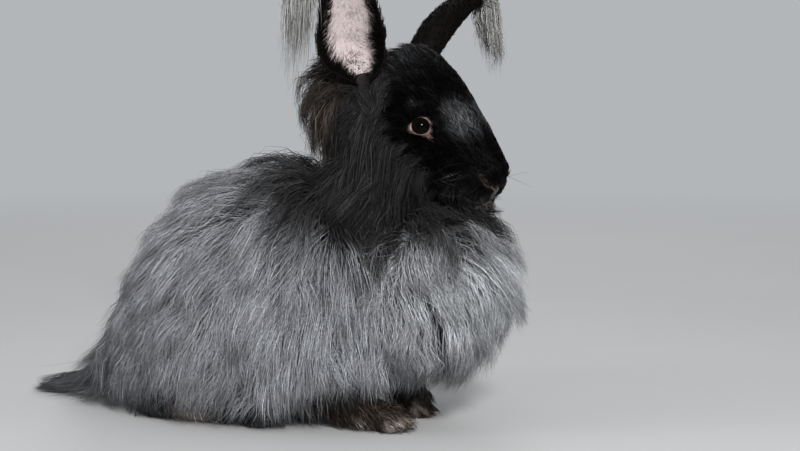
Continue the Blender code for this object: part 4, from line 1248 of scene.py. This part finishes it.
def eyeball(name, side):
    """The eye with its domed cornea, dark iris and black pupil."""
    outward, forward, up = eye_axes(side)
    rings, around = 40, 56
    points, tones = [], []
    for i in range(rings + 1):
        bow = math.pi * i / rings
        radius = EYE_RADIUS - 0.0002 + CORNEA_RISE * math.exp(-((bow / CORNEA_SPREAD) ** 2))
        pupil, rim = ease(bow, *PUPIL_EDGE), ease(bow, *IRIS_EDGE)
        shade = PUPIL_BLACK * (1 - pupil) + IRIS_BROWN * pupil
        shade = shade * (1 - rim) + IRIS_RIM * rim
        for k in range(around):
            angle = 2 * math.pi * k / around
            flat = forward * math.cos(angle) + up * math.sin(angle)
            points.append(eye_centre(side) + radius * (outward * math.cos(bow) + flat * math.sin(bow)))
            tones.append(shade)
    index = np.array(ring_quads(rings + 1, around)).ravel()
    uv = np.repeat(np.linspace(0, 1, len(index))[:, None], 2, axis=1)
    made = array_object(name + "_ball", np.array(points), index, uv, np.array(tones), sides=4)
    work = bmesh.new()
    work.from_mesh(made.data)
    bmesh.ops.remove_doubles(work, verts=work.verts, dist=1e-6)
    bmesh.ops.recalc_face_normals(work, faces=work.faces)
    work.to_mesh(made.data)
    work.free()
    return made


# Rings of the lids: share of the bare skin's width, height over the eyeball, paleness
LID_RINGS = (
    (-0.3, -0.0004, 0.25), (0.0, 0.0004, 0.95), (0.22, 0.001, 1.0),
    (0.55, 0.0007, 0.7), (1.0, 0.0006, 0.3), (1.7, None, 0.0),
)


def lids(name, side, tree):
    """Both lids as one ring: from the wet inner edge, over the margin and bare skin, out under the fur."""
    outward, forward, up = eye_axes(side)
    centre = eye_centre(side)
    around = 96
    angles = np.linspace(-180, 180, around, endpoint=False)
    opening, bare, pale = lid_shape(angles)
    turns = np.radians(angles)
    way = forward * np.cos(turns)[:, None] + up * np.sin(turns)[:, None]
    rings, tones = [], []
    for share, height, light in LID_RINGS:
        reach = opening + np.where(share < 0, 0.0009, bare) * share
        flat = way * reach[:, None]
        lift = np.sqrt(np.maximum((EYE_RADIUS + (height or 0.0)) ** 2 - reach**2, 0.003**2))
        ring = centre + flat + outward * lift[:, None]
        for k in range(around):
            hit = tree.ray_cast(Vector(centre + flat[k] + outward * 0.02), Vector(-outward), 0.03)
            if hit[0] is None:
                continue
            ground = np.array(hit[0])
            if height is None:
                ring[k] = ground - outward * 0.0008
            elif share > 0.5 and float((ground - ring[k]) @ outward) > 0:
                ring[k] = ground + outward * 0.0002
        rings.append(ring)
        mottled = 0.8 + 0.35 * noise(ring, 0.004, 51)
        tones.append(FACE_BLACK + LID_PINK * (pale * light * mottled)[:, None])
    index = np.array(ring_quads(len(rings), around))
    index = (index if side > 0 else index[:, ::-1]).ravel()
    points = np.concatenate(rings)
    spots = bake_places(points[index], np.tile(outward, (len(index), 1)), HEAD_MAP)
    made = array_object(name + "_lids", points, index, spots, np.concatenate(tones), sides=4)
    smooth = made.modifiers.new("round", "SUBSURF")
    smooth.levels = smooth.render_levels = 1
    return made


skin_tree = tree_of(skin, quads)
for name, side in (("eye_right", -1), ("eye_left", 1)):
    hand_over(eyeball(name, side), wet_cornea, "eye", name)
    hand_over(lids(name, side, skin_tree), lid_skin, "face_fur", "head")


def head_way(direction):
    """A direction of the head's, in the animal's frame."""
    return on_head(direction) - on_head((0.0, 0.0, 0.0))


def lips():
    """Short pale hairs that edge the lip cleft and the mouth on both sides."""
    rng = np.random.default_rng(91)
    cleft, _, mouth = face_marks
    ahead = unit(head_way((1.0, 0.0, -0.35)))
    paths = []
    for line in (cleft, mouth, on_head(in_head(mouth) * (1, -1, 1))):
        for _ in range(26):
            first = rng.integers(0, 26)
            shift = rng.normal(0, 0.00035, 3) + ahead * rng.uniform(0.0004, 0.0016)
            paths.append(line[first : first + 13 : 3] + shift)
    paths = np.array(paths)
    shade = LIP_GREY * rng.uniform(0.4, 1.15, len(paths))[:, None]
    spots = bake_places(paths[:, 0], np.tile(ahead, (len(paths), 1)), HEAD_MAP)
    piece = strand_mesh("lips", paths, np.full(len(paths), LIP_HAIR), shade, spots)
    hand_over(piece, guard_hair, "face_fur", "head")


def whiskers(name, side, seed):
    """Fine stiff hairs that stand off the whisker pad."""
    rng = np.random.default_rng(seed)
    count = 20
    ahead, across = rng.uniform(0.098, 0.114, count), side * rng.uniform(0.01, 0.019, count)
    spots = np.stack([ahead, across, rng.uniform(-0.027, -0.009, count)], 1)
    hits = [skin_tree.find_nearest(Vector(p)) for p in on_head(spots)]
    root, normal = (np.array([tuple(hit[i]) for hit in hits]) for i in (0, 1))
    lean = np.tile(head_way((-0.25, side * 1.0, -0.25)), (count, 1))
    length = rng.uniform(0.012, 0.034, count)
    path = strand_paths(root, normal, lean, length, np.full(count, 0.9), np.full(count, 0.12), 5)
    shade = np.tile(WHISKER_BLACK, (count, 1))
    piece = strand_mesh(name, path, np.full(count, WHISKER), shade, bake_places(root, normal, HEAD_MAP))
    hand_over(piece, claw_horn, "face_fur", "head")


def claws():
    """One small curved claw at the front of each toe."""
    steps = np.linspace(0, 1, 6)[:, None]
    paths = []
    for middle, radii, heading in toes(1.85):
        start = middle + heading * (radii[0] - 0.0022)
        paths.append(start + heading * steps * CLAW_LENGTH + DOWN * steps**2 * CLAW_DROOP)
    path = np.array(paths)
    path[:, :, 2] = np.maximum(path[:, :, 2], FLOOR_CLEAR)
    spots = bake_places(path[:, 0], np.tile((0.0, 0.0, 1.0), (len(path), 1)), FOOT_MAP)
    shade = np.tile(CLAW_BROWN, (len(path), 1))
    piece = strand_mesh("claws", path, np.full(len(path), CLAW_HALF), shade, spots, taper=1.3)
    hand_over(piece, claw_horn, "foot_fur")


lips()
whiskers("whiskers_right", -1, 81)
whiskers("whiskers_left", 1, 82)
claws()


def floor():
    """A wide pale floor that fades into the light of the studio."""
    mesh = bare_mesh("floor", [(-40, -40, 0), (40, -40, 0), (40, 40, 0), (-40, 40, 0)], [(0, 1, 2, 3)])

    def paint(tree, shader):
        where = node(tree, "TexCoord").outputs["Object"]
        mottle = node(tree, "TexNoise", {"Scale": 3.0}, {"Vector": where})
        ramp = node(tree, "MapRange", {"To Min": 0.42, "To Max": 0.46}, {"Value": mottle.outputs["Fac"]})
        tone = node(tree, "CombineColor", {}, {k: ramp.outputs["Result"] for k in ("Red", "Green", "Blue")})
        tree.links.new(tone.outputs["Color"], shader.inputs["Base Color"])
        away = node(tree, "VectorMath", {"operation": "LENGTH"}, {0: where})
        span = {"interpolation_type": "SMOOTHSTEP", "From Min": 0.6, "From Max": 2.4}
        far = node(tree, "MapRange", span, {"Value": away.outputs["Value"]}).outputs["Result"]
        sky = node(tree, "Emission", {"Color": STUDIO_PALE, "Strength": STUDIO_LIGHT}).outputs[0]
        fade = node(tree, "MixShader", {}, {0: far, 1: shader.outputs[0], 2: sky})
        tree.links.new(fade.outputs[0], tree.nodes["Material Output"].inputs["Surface"])

    mesh.materials.append(finish("pale_paint", paint, Roughness=0.8, Specular_IOR_Level=0.2))
    placed("floor", mesh)


def soft_light(name, place, aim, size, power, shines=True):
    """A round soft light that faces its aim."""
    data = bpy.data.lights.new(name, "AREA")
    data.shape, data.size, data.energy = "DISK", size, power
    made = placed(name, data)
    made.visible_glossy = shines
    made.location = place
    made.rotation_euler = (Vector(place) - Vector(aim)).to_track_quat("Z", "Y").to_euler()


floor()
world = bpy.data.worlds.new("studio")
world.use_nodes = True
world.node_tree.nodes["Background"].inputs["Color"].default_value = STUDIO_PALE
world.node_tree.nodes["Background"].inputs["Strength"].default_value = STUDIO_LIGHT
bpy.context.scene.world = world
soft_light("key", (1.15, -1.45, 1.00), (0.04, 0.0, 0.12), 0.36, 52)
soft_light("fill", (-1.5, -1.5, 0.9), (0.05, 0.0, 0.12), 0.8, 12, shines=False)
soft_light("back", (-0.5, 1.6, 1.4), (0.0, 0.0, 0.15), 1.0, 10)

SIDE_TURN, LOOK_DOWN = math.radians(25.0), math.radians(5.0)
DISTANCE = 1.35
FRAME_WIDTH = 0.7e-3 * 800
AIM = Vector((0.076, 0.0355, 0.132)) + Vector(MIDDLE)
lens = bpy.data.cameras.new("camera")
camera = placed("camera", lens)
level = math.cos(LOOK_DOWN)
back = Vector((math.sin(SIDE_TURN) * level, -math.cos(SIDE_TURN) * level, math.sin(LOOK_DOWN)))
camera.location = AIM + back * DISTANCE
camera.rotation_euler = back.to_track_quat("Z", "Y").to_euler()
lens.sensor_width = 36.0
lens.lens = 36.0 * DISTANCE / FRAME_WIDTH
lens.clip_start = 0.05
bpy.context.scene.camera = camera
bpy.context.scene.view_settings.view_transform = "Standard"
